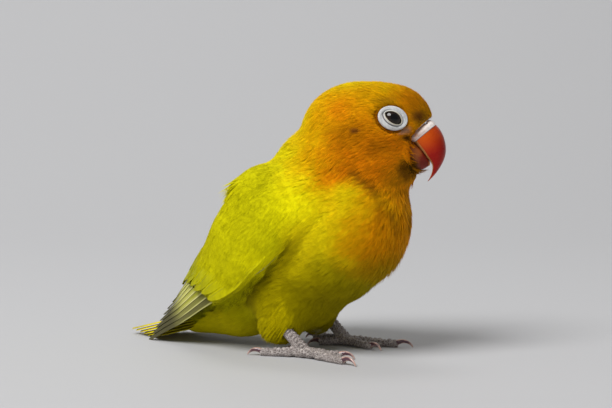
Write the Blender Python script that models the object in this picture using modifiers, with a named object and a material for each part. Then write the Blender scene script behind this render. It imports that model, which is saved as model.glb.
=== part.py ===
"""Lovebird with a bare white eye ring: a still, life-size model, standing with its head turned.

Sizes are in millimetres and MM turns them into Blender's metres as each mesh is made. The bird
faces +X, its left side is +Y, and the floor that its toes stand on is z = 0. The flesh is modelled
whole, from ellipsoids that are fused and smoothed, and is then parted into head, neck, torso,
thighs and tail by thin cuts. Wings and tail carry feather vanes, fused at their roots.
"""

import math

import bmesh
import bpy
from mathutils import Matrix, Vector
from mathutils.bvhtree import BVHTree

MM = 0.001
GAP = 0.3  # clearance between touching nodes

# Head, in its own frame: forward, left, up from its middle.
HEAD_AT = Vector((16.1, 0.0, 68.8))
HEAD_TURN = 24.0  # degrees to the bird's left
SKULL = {
    "skull": ((-1.9, 0.0, -0.6), (18.4, 13.2, 16.2)),
    "crown": ((3.6, 0.0, 1.4), (14.5, 10.5, 14.2)),
    "forehead": ((8.2, 0.0, 1.3), (13.0, 9.0, 13.6)),
    "cheeks": ((2.5, 0.0, -7.5), (14.0, 12.6, 10.0)),
    "throat": ((7.6, 0.0, -11.5), (9.2, 7.6, 6.8)),
    "hindneck": ((-9.0, 0.0, -9.5), (13.4, 13.2, 14.5)),
}

# Body ellipsoids: centre, radii and pitch of the long axis above the horizon, in degrees.
BODY = {
    "neck": ((5.0, 0.0, 56.5), (19.5, 16.2, 15.0), 0.0),
    "breast": ((8.8, 0.0, 41.5), (21.4, 20.2, 22.0), 0.0),
    "mantle": ((-9.0, 0.0, 46.5), (19.8, 16.2, 13.8), 0.0),
    "back": ((-8.0, 0.0, 34.0), (27.0, 17.8, 17.8), 45.0),
    "saddle": ((-13.0, 0.0, 38.5), (25.0, 5.6, 18.0), 45.0),
    "lower_breast": ((1.3, 0.0, 25.5), (17.5, 17.0, 12.0), 0.0),
    "belly": ((-8.5, 0.0, 19.5), (17.0, 17.0, 14.5), 0.0),
    "rump": ((-27.0, 0.0, 18.5), (19.0, 12.5, 12.0), 36.0),
    "vent": ((-27.5, 0.0, 12.0), (15.0, 10.5, 10.4), 8.0),
    "tail_root": ((-38.0, 0.0, 8.6), (13.0, 8.2, 7.0), 12.0),
}
THIGH = ((-7.5, 10.6, 12.5), (8.6, 6.8, 10.5), 0.0)
TROUSERS = ((-9.0, 12.4, 7.8), (6.2, 4.8, 5.4), 0.0)
THIGH_CUT = ((-7.6, 15.4, 10.6), (10.6, 8.0, 12.8), 0.0)
BILL_NOTCH = (Vector((21.6, 0.0, -5.4)), 8.2)  # feathers end round the bill on this cylinder
VOXEL = 1.2
FLESH_TRIANGLES = 2250

# Parting planes: a point on the cut and the direction towards the nearer the head.
HEAD_CUT = (Vector((11.0, 0.0, 59.5)), Vector((0.34, 0.0, 0.94)))
NECK_CUT = (Vector((6.0, 0.0, 50.5)), Vector((0.27, 0.0, 0.96)))
TAIL_CUT = (Vector((-39.5, 0.0, 8.6)), Vector((0.97, 0.0, 0.24)))

# Eye, in the head's frame.
EYE_AT = Vector((8.0, -7.45, 4.05))
EYE_RADIUS = 3.3
EYE_AZIMUTH = -70.0  # the right eye's axis, degrees from straight ahead
EYE_RISE = 10.0  # and above the level
RING_RADII = (5.0, 4.1)  # long and short half-axes of the bare ring
RING_DOME = 1.5
RING_LIFT = 1.9  # of the ring's plane above the eyeball's centre
RING_TILT = -14.0
LID_SLIT = (2.9, 1.8)
LID_TILT = -33.0

# Bill outlines in the head's plane, as (forward, up): the inner edge, the ridge and the half-width.
UPPER_BILL = (
    ((14.9, -3.1), (21.2, 2.1), 5.2),
    ((16.0, -4.6), (22.7, 0.3), 5.1),
    ((17.3, -6.1), (23.8, -2.2), 4.8),
    ((18.4, -7.6), (24.3, -4.9), 4.2),
    ((19.6, -9.0), (24.1, -7.3), 3.3),
    ((20.2, -10.4), (23.3, -9.5), 2.4),
    ((20.1, -12.2), (21.8, -12.0), 1.4),
    ((19.5, -13.9), (20.3, -13.8), 0.7),
    ((18.8, -15.1), (19.0, -15.1), 0.2),
)
LOWER_BILL = (
    ((12.4, -2.2), (8.5, -11.0), 4.8),
    ((15.0, -3.2), (12.2, -12.2), 4.8),
    ((17.0, -5.2), (15.6, -12.0), 4.3),
    ((18.4, -7.2), (17.8, -11.3), 3.3),
    ((19.5, -9.1), (19.5, -10.2), 2.0),
)
CERE = (
    ((12.6, -2.2), (19.0, 3.9), 4.9),
    ((13.7, -2.6), (20.3, 3.45), 5.5),
    ((14.7, -3.0), (21.05, 2.4), 5.35),
)
NOSTRIL_AT = Vector((18.2, -3.3, 2.6))
NOSTRIL_RADIUS = 0.55

# Legs: where the right foot's toes meet, its toes as (name, heading, toe length, claw length,
# pads), and its shank.
FOOT_AT = Vector((2.0, -13.0, 0.0))
FOOT_HEADING = -4.0
TOES = (
    ("outer_front", -12.0, 17.0, 6.2, 4),
    ("inner_front", 20.0, 11.5, 5.4, 3),
    ("outer_rear", -160.0, 14.0, 5.4, 4),
    ("inner_rear", 155.0, 8.5, 4.6, 2),
)
TOE_RADIUS = 1.6
TOE_TIP_RADIUS = 1.2
SOLE = 0.12  # how deep the pads are cut flat
ANKLE = Vector((-9.0, -0.6, 10.5))  # from the foot's joint
SHANK_RADIUS = 1.85

# Wing: an unrolled sheet round an axis in the body. t runs towards the head along the axis and
# w is the distance from the back's midline, measured round the body.
AXIS_AT = Vector((-8.0, 0.0, 36.0))
AXIS_PITCH = 45.0
ENVELOPE = (  # t, dorsal radius, side radius
    (26.0, 15.0, 17.0),
    (10.0, 17.0, 18.5),
    (-9.0, 18.3, 19.5),
    (-29.0, 15.3, 16.0),
    (-45.0, 13.3, 12.4),
    (-62.0, 13.0, 11.0),
)
WING_LIFT = 0.75  # of the wing's inner face off the body
WING_UPPER_EDGE = (
    (25.0, 20.5), (23.5, 16.4), (20.5, 12.8), (15.0, 9.2), (8.0, 6.6),
    (-6.0, 5.0), (-36.0, 4.4), (-50.0, 5.6), (-61.5, 7.0),
)
WING_LOWER_EDGE = (
    (25.0, 25.5), (23.5, 28.6), (20.5, 31.0), (15.0, 33.0), (8.0, 34.3),
    (-2.0, 35.2), (-9.0, 34.6), (-28.0, 25.6), (-45.0, 17.0), (-61.5, 9.6),
)
WING_CORE = ((25.0, 0.6), (23.5, 1.2), (20.5, 2.2), (15.0, 3.4), (8.0, 4.2), (1.0, 4.1), (-6.0, 2.2))
WING_CORE_LIFT = 0.8  # of the core's inner face over the vanes' own
WING_CORE_COLUMNS = (0.0, 0.06, 0.2, 0.4, 0.6, 0.8, 0.94, 1.0)

# Vanes. A tier's vanes are set side by side, each one's lower edge over the next one down.
VANE_THICKNESS = 0.5
VANE_OVERLAP = 0.64  # half-width over spacing
VANE_SHINGLE = 0.52  # how far a vane's lower edge stands over its middle
VANE_STATIONS = (-13.0, -27.0, -42.0)
VANE_TIP = ((4.5, 0.94), (1.5, 0.62), (0.0, 0.14))  # distance from the tip, share of the width
PRIMARIES = {"count": 7, "root": 0.0, "tips": (-61.5, -42.0), "spacing": (3.5, 2.3), "lift": 1.0}
WING_TIERS = {  # count, root, tips and places of the lowest and the highest vane, lift at root and tip
    "secondaries": (8, 0.0, (-28.0, -40.5), (0.86, 0.06), (2.85, 2.85)),
    "coverts": (8, 6.5, (-9.0, -19.0), (0.9, 0.08), (3.1, 4.75)),
}

# Tail: six pairs of vanes, the middle pair on top, laid down to the floor.
TAIL_PAIRS = 6
TAIL_ROOT_X = -43.0
TAIL_TIP_X = -70.0
TAIL_STEP = 2.0  # how much shorter each pair is than the one over it
TAIL_SLOPE = 0.275
TAIL_LAYER = 0.8
TAIL_FLOOR = 0.42  # of the lowest pair's middle, at its tip
TAIL_WIDTHS = (4.2, 1.0)  # of the middle pair's half of the fan, and what each pair adds
TAIL_ROOF = 0.06  # fall of each vane towards its outer edge

PLUMAGE = {
    "head": ((0.80, 0.40, 0.01), 0.8),
    "neck": ((0.85, 0.42, 0.01), 0.8),
    "torso": ((0.80, 0.66, 0.01), 0.8),
    "thigh": ((0.62, 0.60, 0.02), 0.8),
    "wing": ((0.74, 0.70, 0.02), 0.75),
    "tail": ((0.50, 0.46, 0.03), 0.7),
}
BILL_RED = ((0.62, 0.09, 0.02), 0.3)
LOWER_BILL_RED = ((0.38, 0.05, 0.03), 0.4)
CERE_WHITE = ((0.78, 0.72, 0.70), 0.5)
RING_WHITE = ((0.84, 0.85, 0.84), 0.5)
EYE_BROWN = ((0.02, 0.012, 0.01), 0.05)
FOOT_GREY = ((0.42, 0.37, 0.38), 0.6)
CLAW_HORN = ((0.55, 0.36, 0.30), 0.35)


# ---------------------------------------------------------------- scene and mesh helpers


def clear_scene():
    for obj in list(bpy.data.objects):
        bpy.data.objects.remove(obj)


def collection(name):
    made = bpy.data.collections.new(name)
    bpy.context.scene.collection.children.link(made)
    return made


def finish_of(name, look):
    colour, roughness = look
    made = bpy.data.materials.new(name)
    made.use_nodes = True
    shader = made.node_tree.nodes["Principled BSDF"]
    shader.inputs["Base Color"].default_value = (*colour, 1.0)
    shader.inputs["Roughness"].default_value = roughness
    shader.inputs["Metallic"].default_value = 0.0
    return made


def object_of(name, mesh):
    obj = bpy.data.objects.new(name, mesh)
    bpy.context.scene.collection.objects.link(obj)
    return obj


def remove(obj):
    bpy.data.objects.remove(obj)


def object_from_bmesh(name, shape):
    shape.normal_update()
    bmesh.ops.recalc_face_normals(shape, faces=shape.faces)
    mesh = bpy.data.meshes.new(name)
    shape.to_mesh(mesh)
    shape.free()
    return object_of(name, mesh)


def apply_modifiers(obj):
    """Replaces an object by a mesh of what its modifiers make."""
    graph = bpy.context.evaluated_depsgraph_get()
    mesh = bpy.data.meshes.new_from_object(obj.evaluated_get(graph))
    name = obj.name
    matrix = obj.matrix_world.copy()
    remove(obj)
    made = object_of(name, mesh)
    made.name = name
    made.matrix_world = matrix
    return made


def copy_of(obj, name):
    made = object_of(name, obj.data.copy())
    made.matrix_world = obj.matrix_world.copy()
    return made


def grown(obj, name, distance=GAP):
    """A copy of a solid, with its surface moved outwards by a distance."""
    made = copy_of(obj, name)
    shape = bmesh.new()
    shape.from_mesh(made.data)
    shape.normal_update()
    for vertex in shape.verts:
        vertex.co += vertex.normal * distance * MM * max(1.0, vertex.calc_shell_factor())
    shape.to_mesh(made.data)
    shape.free()
    return made


def boolean(obj, operation, others, solver="EXACT"):
    """Cuts or joins obj by the others, which are then removed."""
    helpers = collection("cutters")
    for other in others:
        helpers.objects.link(other)
    modifier = obj.modifiers.new(operation, "BOOLEAN")
    modifier.operation = operation
    modifier.operand_type = "COLLECTION"
    modifier.collection = helpers
    modifier.solver = solver
    made = apply_modifiers(obj)
    for other in others:
        remove(other)
    bpy.data.collections.remove(helpers)
    return made


def keep_largest(obj):
    """Keeps a node's largest closed surface, and drops any scrap or sealed hollow."""
    shape = bmesh.new()
    shape.from_mesh(obj.data)
    left = set(shape.verts)
    islands = []
    while left:
        island = set()
        open_verts = [left.pop()]
        while open_verts:
            vertex = open_verts.pop()
            island.add(vertex)
            near = {edge.other_vert(vertex) for edge in vertex.link_edges} & left
            left -= near
            open_verts += near
        islands.append(island)
    islands.sort(key=len)
    for island in islands[:-1]:
        bmesh.ops.delete(shape, geom=list(island), context="VERTS")
    shape.to_mesh(obj.data)
    shape.free()
    return obj


# ---------------------------------------------------------------- forms


def head_matrix():
    return Matrix.Translation(HEAD_AT * MM) @ Matrix.Rotation(math.radians(HEAD_TURN), 4, "Z")


def ellipsoid(name, centre, radii, pitch=0.0, matrix=None, segments=28, rings=16):
    """A ball stretched to an ellipsoid, its first axis raised by pitch above the horizon."""
    shape = bmesh.new()
    bmesh.ops.create_uvsphere(shape, u_segments=segments, v_segments=rings, radius=MM)
    place = (
        Matrix.Translation(Vector(centre) * MM)
        @ Matrix.Rotation(math.radians(-pitch), 4, "Y")
        @ Matrix.Diagonal((*radii, 1.0))
    )
    shape.transform(place if matrix is None else matrix @ place)
    return object_from_bmesh(name, shape)


def mirrored(spec):
    (x, y, z), radii, pitch = spec
    return (x, -y, z), radii, pitch


def loft(name, rings, matrix=None):
    """A closed solid through rings of points, capped at both ends."""
    shape = bmesh.new()
    loops = [[shape.verts.new(Vector(p) * MM) for p in ring] for ring in rings]
    count = len(loops[0])
    for near, far in zip(loops, loops[1:]):
        for i in range(count):
            j = (i + 1) % count
            shape.faces.new((near[i], near[j], far[j], far[i]))
    shape.faces.new(loops[0])
    shape.faces.new(loops[-1])
    if matrix is not None:
        shape.transform(matrix)
    return object_from_bmesh(name, shape)


def tube(name, points, radii, matrix=None, resolution=2):
    """A round tube of changing radius through points, with closed ends."""
    curve = bpy.data.curves.new(name, "CURVE")
    curve.dimensions = "3D"
    curve.bevel_depth = MM
    curve.bevel_resolution = resolution
    curve.use_fill_caps = True
    spline = curve.splines.new("POLY")
    spline.points.add(len(points) - 1)
    for knot, point, radius in zip(spline.points, points, radii):
        knot.co = (*(Vector(point) * MM), 1.0)
        knot.radius = radius
    made = apply_modifiers(object_of(name, curve))
    shape = bmesh.new()
    shape.from_mesh(made.data)
    bmesh.ops.remove_doubles(shape, verts=shape.verts, dist=0.01 * MM)
    bmesh.ops.recalc_face_normals(shape, faces=shape.faces)
    if matrix is not None:
        shape.transform(matrix)
    shape.to_mesh(made.data)
    shape.free()
    return made


def half_space(name, cut, offset, size=140.0):
    """A box that fills the side of a parting plane that its direction points to."""
    point, direction = cut
    direction = direction.normalized()
    shape = bmesh.new()
    bmesh.ops.create_cube(shape, size=size * MM)
    turn = direction.to_track_quat("Z", "Y").to_matrix().to_4x4()
    centre = (point + direction * (offset + size / 2)) * MM
    shape.transform(Matrix.Translation(centre) @ turn)
    return object_from_bmesh(name, shape)


# ---------------------------------------------------------------- flesh


def bill_notch():
    """A cylinder across the face that keeps the feathers off the bill."""
    centre, radius = BILL_NOTCH
    shape = bmesh.new()
    size = {"radius1": radius * MM, "radius2": radius * MM, "depth": 40 * MM}
    bmesh.ops.create_cone(shape, cap_ends=True, segments=48, **size)
    across = Matrix.Rotation(math.pi / 2, 4, "X")
    shape.transform(head_matrix() @ Matrix.Translation(centre * MM) @ across)
    return object_from_bmesh("bill_notch", shape)


def flesh():
    """Head, neck, body and thighs as one smooth solid."""
    balls = [ellipsoid(name, *spec) for name, spec in BODY.items()]
    for name, (centre, radii) in SKULL.items():
        balls.append(ellipsoid(name, centre, radii, matrix=head_matrix()))
    for spec in (THIGH, TROUSERS):
        balls.append(ellipsoid("thigh_left_form", *spec))
        balls.append(ellipsoid("thigh_right_form", *mirrored(spec)))
    whole = boolean(balls[0], "UNION", balls[1:])
    whole = boolean(whole, "DIFFERENCE", [bill_notch()])
    whole.name = "flesh"
    remesh = whole.modifiers.new("even", "REMESH")
    remesh.mode = "VOXEL"
    remesh.voxel_size = VOXEL * MM
    smooth = whole.modifiers.new("soften", "SMOOTH")
    smooth.factor = 0.5
    smooth.iterations = 14
    return apply_modifiers(whole)


def coarser(obj, triangles):
    """The same form with about this many triangles."""
    obj.data.calc_loop_triangles()
    fewer = obj.modifiers.new("coarser", "DECIMATE")
    fewer.ratio = triangles / len(obj.data.loop_triangles)
    return apply_modifiers(obj)


def part_flesh(whole, bill_cutters, shank_cutters):
    """Cuts the whole flesh into its nodes, a thin gap apart."""
    nodes = {}
    for side, mirror in (("left", False), ("right", True)):
        spec = mirrored(THIGH_CUT) if mirror else THIGH_CUT
        thigh = copy_of(whole, f"thigh_{side}")
        thigh = boolean(thigh, "INTERSECT", [ellipsoid("cut", *spec)])
        thigh = boolean(thigh, "DIFFERENCE", [shank_cutters[side]])
        nodes[f"thigh_{side}"] = thigh
        centre, radii, pitch = spec
        wider = tuple(radius + GAP for radius in radii)
        whole = boolean(whole, "DIFFERENCE", [ellipsoid("cut", centre, wider, pitch)])
    cuts = {
        "head": ((HEAD_CUT, False),),
        "neck": ((HEAD_CUT, True), (NECK_CUT, False)),
        "torso": ((NECK_CUT, True), (TAIL_CUT, False)),
        "tail": ((TAIL_CUT, True),),
    }
    for name, sides in cuts.items():
        node = copy_of(whole, name)
        for cut, below in sides:
            offset = -GAP / 2 if below else GAP / 2
            box = half_space("cut", cut, offset)
            node = boolean(node, "DIFFERENCE" if below else "INTERSECT", [box])
        nodes[name] = node
    remove(whole)
    nodes["head"] = boolean(nodes["head"], "DIFFERENCE", bill_cutters)
    for name, node in nodes.items():
        node.name = name
        keep_largest(node)
    return nodes


# ---------------------------------------------------------------- eyes


def eye_matrix(side):
    """The eye's frame: X along the ring's long axis to the front, Y up, Z out of the head."""
    turn = Matrix.Rotation(math.radians(EYE_AZIMUTH * side), 4, "Z")
    turn = turn @ Matrix.Rotation(math.radians(-EYE_RISE), 4, "Y")
    upright = Matrix.Rotation(math.radians(90.0), 4, "Y") @ Matrix.Rotation(math.radians(90.0), 4, "Z")
    at = Vector((EYE_AT.x, EYE_AT.y * side, EYE_AT.z))
    mirror = Matrix.Diagonal((side, 1.0, 1.0, 1.0))
    return head_matrix() @ Matrix.Translation(at * MM) @ turn @ upright @ mirror


def lid_cutter(matrix):
    """An almond prism, pointed at both corners of the eye."""
    long_half, short_half = LID_SLIT
    steps = 16
    outline = []
    for i in range(steps):
        angle = 2 * math.pi * i / steps
        squeeze = abs(math.sin(angle)) ** 1.25
        outline.append((long_half * math.cos(angle), math.copysign(short_half * squeeze, math.sin(angle))))
    tilt = Matrix.Rotation(math.radians(LID_TILT), 4, "Z")
    rings = []
    for height, scale in ((-1.0, 0.92), (8.0, 1.45)):
        rings.append([(x * scale, y * scale, height) for x, y in outline])
    return loft("lid_slit", rings, matrix @ tilt)


def eye(side, label):
    """Eyeball and bare lid ring, and the two cutters that seat them in the head."""
    matrix = eye_matrix(side)
    ball = ellipsoid(f"eye_{label}", (0, 0, 0), (EYE_RADIUS,) * 3, matrix=matrix, segments=16, rings=10)
    tilt = matrix @ Matrix.Rotation(math.radians(RING_TILT), 4, "Z")
    ring_at = (0, 0, RING_LIFT)
    ring_radii = (*RING_RADII, RING_DOME)
    ring = ellipsoid(f"eye_ring_{label}", ring_at, ring_radii, matrix=tilt, segments=20, rings=8)
    seat = ellipsoid("seat", ring_at, [r + GAP for r in ring_radii], matrix=tilt, segments=20, rings=8)
    clear = [EYE_RADIUS + GAP] * 3
    socket = ellipsoid("socket", (0, 0, 0), clear, matrix=matrix, segments=16, rings=10)
    ring = boolean(ring, "DIFFERENCE", [copy_of(socket, "socket_in_ring"), lid_cutter(matrix)])
    return ball, keep_largest(ring), [seat, socket]


# ---------------------------------------------------------------- bill


def bill_ring(inner, ridge, half_width, boxy=0.8, sides=16):
    """A section across the bill, flat along its inner edge and round over its ridge."""
    inner, ridge = Vector(inner), Vector(ridge)
    ring = []
    for i in range(sides):
        angle = 2 * math.pi * (i + 0.5) / sides
        across = math.copysign(abs(math.sin(angle)) ** boxy, math.sin(angle))
        up = math.cos(angle)
        depth = 0.3 + 0.7 * up if up > 0 else 0.3 + 0.3 * math.copysign(abs(up) ** 0.5, up)
        at = inner.lerp(ridge, depth)
        ring.append((at.x, half_width * across, at.y))
    return ring


def bill_piece(name, outline):
    return loft(name, [bill_ring(*section) for section in outline], head_matrix())


def bill():
    """Upper bill, lower bill and cere, and their cutters for the head."""
    upper = bill_piece("bill_upper", UPPER_BILL)
    lower = bill_piece("bill_lower", LOWER_BILL)
    cere = bill_piece("cere", CERE)
    cutters = [grown(piece, "seat") for piece in (upper, lower, cere)]
    cere = boolean(cere, "DIFFERENCE", [grown(upper, "cut"), grown(lower, "cut")])
    nostrils = []
    for side in (1, -1):
        at = Vector((NOSTRIL_AT.x, NOSTRIL_AT.y * side, NOSTRIL_AT.z))
        radii = (NOSTRIL_RADIUS,) * 3
        nostrils.append(ellipsoid("nostril", at, radii, matrix=head_matrix(), segments=10, rings=6))
    cere = boolean(cere, "DIFFERENCE", nostrils)
    lower = boolean(lower, "DIFFERENCE", [grown(upper, "cut")])
    for piece in (lower, cere):
        keep_largest(piece)
    return [upper, lower, cere], cutters


# ---------------------------------------------------------------- legs


def toe_path(length, pads):
    """The toe's centre line from the joint out, low at each pad, and its radii."""
    steps = 3 * pads
    points, radii = [], []
    for i in range(steps + 1):
        share = i / steps
        taper = TOE_RADIUS + (TOE_TIP_RADIUS - TOE_RADIUS) * share
        swell = 0.5 - 0.5 * math.cos(2 * math.pi * share * pads)
        radius = taper * (0.86 + 0.16 * swell)
        arch = 0.9 * math.sin(math.pi * min(1.0, share * 1.6)) * (1 - share)
        points.append((length * share, 0.0, radius - SOLE + arch * (1 - swell)))
        radii.append(radius)
    return points, radii


def claw_path(length, start):
    """A claw that arches out of the toe's end and down to the floor."""
    steps = 7
    points, radii = [], []
    for i in range(steps + 1):
        share = i / steps
        angle = math.radians(28.0 - 92.0 * share)
        if not points:
            points.append(Vector((start, 0.0, TOE_TIP_RADIUS * 1.15)))
        else:
            step = Vector((math.cos(angle), 0.0, math.sin(angle))) * length / steps
            points.append(points[-1] + step)
        radii.append(0.16 + 0.72 * (1 - share) ** 0.8)
    lowest = min(point.z - radius for point, radius in zip(points, radii))
    lift = 0.08 - lowest
    return [point + Vector((0, 0, lift * i / steps)) for i, point in enumerate(points)], radii


def foot(side, label):
    """Shank and four toes as one solid, four claws, and the shank's cutter for the thigh."""
    at = Vector((FOOT_AT.x, FOOT_AT.y * side, FOOT_AT.z))
    base = Matrix.Translation(at * MM)
    pieces, claws = [], []
    for name, heading, length, claw, pads in TOES:
        turn = base @ Matrix.Rotation(math.radians((heading + FOOT_HEADING) * side), 4, "Z")
        points, radii = toe_path(length, pads)
        pieces.append(tube(f"toe_{name}", points, radii, turn))
        claw_points, claw_radii = claw_path(claw, length + GAP)
        claw_node = tube(f"claw_{name}_{label}", claw_points, claw_radii, turn, 1)
        claws.append(boolean(claw_node, "DIFFERENCE", [grown(pieces[-1], "cut")]))
        keep_largest(claws[-1])
    ankle = Vector((ANKLE.x, ANKLE.y * side, ANKLE.z))
    joint = Vector((0.0, 0.0, TOE_RADIUS + 0.2))
    shank_points = [joint.lerp(ankle, share) for share in (0.0, 0.25, 0.5, 0.75, 1.0)]
    shank_radii = [SHANK_RADIUS * scale for scale in (1.12, 0.98, 0.95, 1.0, 1.12)]
    shank = tube("shank", shank_points, shank_radii, base)
    cutter = grown(shank, "cut")
    instep = ellipsoid("instep", joint, (2.6, 2.5, 1.75), matrix=base, segments=16, rings=10)
    whole = boolean(shank, "UNION", pieces + [instep])
    floor = half_space("floor", (Vector((0, 0, 0)), Vector((0, 0, 1))), 0.0)
    whole = boolean(whole, "INTERSECT", [floor])
    whole.name = f"foot_{label}"
    return keep_largest(whole), claws, cutter


# ---------------------------------------------------------------- wings and tail


def between(table, at):
    """Values read from a table of rows, smoothly between its rows."""
    rows = sorted(table)
    at = min(max(at, rows[0][0]), rows[-1][0])
    for low, high in zip(rows, rows[1:]):
        if at <= high[0]:
            share = (at - low[0]) / (high[0] - low[0])
            return [a + (b - a) * share for a, b in zip(low[1:], high[1:])]
    return list(rows[-1][1:])


class WingSheet:
    """Places (t, w, lift) points round the body for the right wing."""

    def __init__(self, body):
        graph = bpy.context.evaluated_depsgraph_get()
        self.tree = BVHTree.FromObject(body, graph)
        pitch = math.radians(AXIS_PITCH)
        self.along = Vector((math.cos(pitch), 0.0, math.sin(pitch)))
        self.dorsal = Vector((-math.sin(pitch), 0.0, math.cos(pitch)))

    def radius(self, t, angle):
        dorsal, lateral = between(ENVELOPE, t)
        radius = 1.0 / math.hypot(math.cos(angle) / dorsal, math.sin(angle) / lateral)
        centre = AXIS_AT + self.along * t
        out = self.outward(angle)
        hit = self.tree.ray_cast((centre + out * 60.0) * MM, -out, 60.0 * MM)[0]
        if hit is not None:
            radius = max(radius, (hit / MM - centre).length)
        return radius

    def outward(self, angle):
        return self.dorsal * math.cos(angle) + Vector((0.0, -math.sin(angle), 0.0))

    def point(self, t, w, lift):
        dorsal, lateral = between(ENVELOPE, t)
        angle = w / (0.5 * (dorsal + lateral))
        radius = self.radius(t, angle) + WING_LIFT + lift
        return AXIS_AT + self.along * t + self.outward(angle) * radius


def sheet_solid(name, top, bottom):
    """A closed thin solid between two grids of points, split alike on both faces."""
    shape = bmesh.new()
    grids = [[[shape.verts.new(p * MM) for p in row] for row in grid] for grid in (top, bottom)]
    rows, columns = len(top), len(top[0])
    for grid, flip in zip(grids, (False, True)):
        for i in range(rows - 1):
            for j in range(columns - 1):
                a, b, c, d = grid[i][j], grid[i + 1][j], grid[i + 1][j + 1], grid[i][j + 1]
                for corners in ((a, b, c), (a, c, d)):
                    shape.faces.new(corners[::-1] if flip else corners)
    rim = [(0, j) for j in range(columns)]
    rim += [(i, columns - 1) for i in range(1, rows)]
    rim += [(rows - 1, j) for j in range(columns - 2, -1, -1)]
    rim += [(i, 0) for i in range(rows - 2, 0, -1)]
    for (i, j), (k, m) in zip(rim, rim[1:] + rim[:1]):
        a, b = grids[0][i][j], grids[0][k][m]
        c, d = grids[1][k][m], grids[1][i][j]
        shape.faces.new((a, b, c))
        shape.faces.new((a, c, d))
    return object_from_bmesh(name, shape)


def vane(name, point, rows):
    """A flat feather. Each row holds its place along the vane, middle, half-width and lift."""
    top, bottom = [], []
    half = VANE_THICKNESS / 2
    for along, middle, half_width, lift in rows:
        edges = [(middle + side * half_width, lift + side * VANE_SHINGLE) for side in (-1, 0, 1)]
        top.append([point(along, w, height + half) for w, height in edges])
        bottom.append([point(along, w, height - half) for w, height in edges])
    return sheet_solid(name, top, bottom)


def stations(root, tip):
    """Where a vane's rows are, from root to tip, with the share of its full width at each."""
    tip_rows = [(tip + back, share) for back, share in VANE_TIP]
    body_rows = [(t, 1.0) for t in (root, *VANE_STATIONS) if tip_rows[0][0] + 2.0 < t <= root]
    return body_rows + tip_rows


def wing_core(sheet):
    """The arm and hand with their small coverts, from the bend of the wing back."""
    top, bottom = [], []
    for t, thick in WING_CORE:
        upper, lower = between(WING_UPPER_EDGE, t)[0], between(WING_LOWER_EDGE, t)[0]
        top_row, bottom_row = [], []
        for share in WING_CORE_COLUMNS:
            round_off = max(0.4, math.sqrt(1 - abs(2 * share - 1) ** 6))
            w = upper + (lower - upper) * share
            top_row.append(sheet.point(t, w, WING_CORE_LIFT + thick * round_off))
            bottom_row.append(sheet.point(t, w, WING_CORE_LIFT))
        top.append(top_row)
        bottom.append(bottom_row)
    return sheet_solid("wing_core", top, bottom)


def primaries(sheet):
    """The longest vanes, side by side along the wing's lower edge, each tip short of the last."""
    made = []
    first, last = PRIMARIES["tips"]
    root = PRIMARIES["root"]
    near, far = PRIMARIES["spacing"]
    for i in range(PRIMARIES["count"]):
        tip = first + (last - first) * i / (PRIMARIES["count"] - 1)
        rows = []
        for t, width in stations(root, tip):
            spacing = near + (far - near) * (root - t) / (root - first)
            half_width = VANE_OVERLAP * spacing
            middle = between(WING_LOWER_EDGE, t)[0] - half_width - spacing * i
            rows.append((t, middle, half_width * width, PRIMARIES["lift"]))
        made.append(vane("primary", sheet.point, rows))
    return made


def wing_tier(sheet, name):
    """Vanes spread between the wing's two edges, closing up towards its tip."""
    count, root, (low_tip, high_tip), (low, high), (root_lift, tip_lift) = WING_TIERS[name]
    made = []
    for i in range(count):
        along = i / (count - 1)
        tip = low_tip + (high_tip - low_tip) * along
        share = low + (high - low) * along
        rows = []
        for t, width in stations(root, tip):
            upper, lower = between(WING_UPPER_EDGE, t)[0], between(WING_LOWER_EDGE, t)[0]
            half_width = VANE_OVERLAP * (lower - upper) * (low - high) / (count - 1)
            lift = root_lift + (tip_lift - root_lift) * min(1.0, (root - t) / 12.0)
            rows.append((t, upper + (lower - upper) * share, half_width * width, lift))
        made.append(vane(name, sheet.point, rows))
    return made


def wing(sheet, name):
    pieces = primaries(sheet) + wing_tier(sheet, "secondaries") + wing_tier(sheet, "coverts")
    made = boolean(wing_core(sheet), "UNION", pieces)
    made.name = name
    return keep_largest(made)


def mirror_of(obj, name):
    """The same solid on the bird's other side."""
    made = copy_of(obj, name)
    shape = bmesh.new()
    shape.from_mesh(made.data)
    shape.transform(Matrix.Diagonal((1.0, -1.0, 1.0, 1.0)))
    bmesh.ops.reverse_faces(shape, faces=shape.faces)
    shape.to_mesh(made.data)
    shape.free()
    return made


def tail(core):
    """Six pairs of tail vanes, rooted in the tail's own flesh."""
    vanes = []
    for pair in range(TAIL_PAIRS):
        tip = TAIL_TIP_X + TAIL_STEP * pair
        half_width = (TAIL_WIDTHS[0] + TAIL_WIDTHS[1] * pair - GAP / 2) / 2
        middle = GAP / 2 + half_width
        for side in (1, -1):
            top, bottom = [], []
            for x, width in ((TAIL_ROOT_X, 0.8), (tip + 12.0, 1.0), *((tip + d, w) for d, w in VANE_TIP)):
                height = TAIL_FLOOR + TAIL_LAYER * (TAIL_PAIRS - 1 - pair)
                height += TAIL_SLOPE * (x - TAIL_TIP_X - TAIL_STEP * (TAIL_PAIRS - 1))
                top_row, bottom_row = [], []
                for across in (-1, 0, 1):
                    y = middle + across * half_width * width
                    z = height - TAIL_ROOF * (y - middle)
                    top_row.append(Vector((x, side * y, z + VANE_THICKNESS / 2)))
                    bottom_row.append(Vector((x, side * y, z - VANE_THICKNESS / 2)))
                top.append(top_row)
                bottom.append(bottom_row)
            vanes.append(sheet_solid("tail_vane", top, bottom))
    made = boolean(core, "UNION", vanes)
    made.name = "tail"
    return keep_largest(made)


# ---------------------------------------------------------------- assembly


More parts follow.
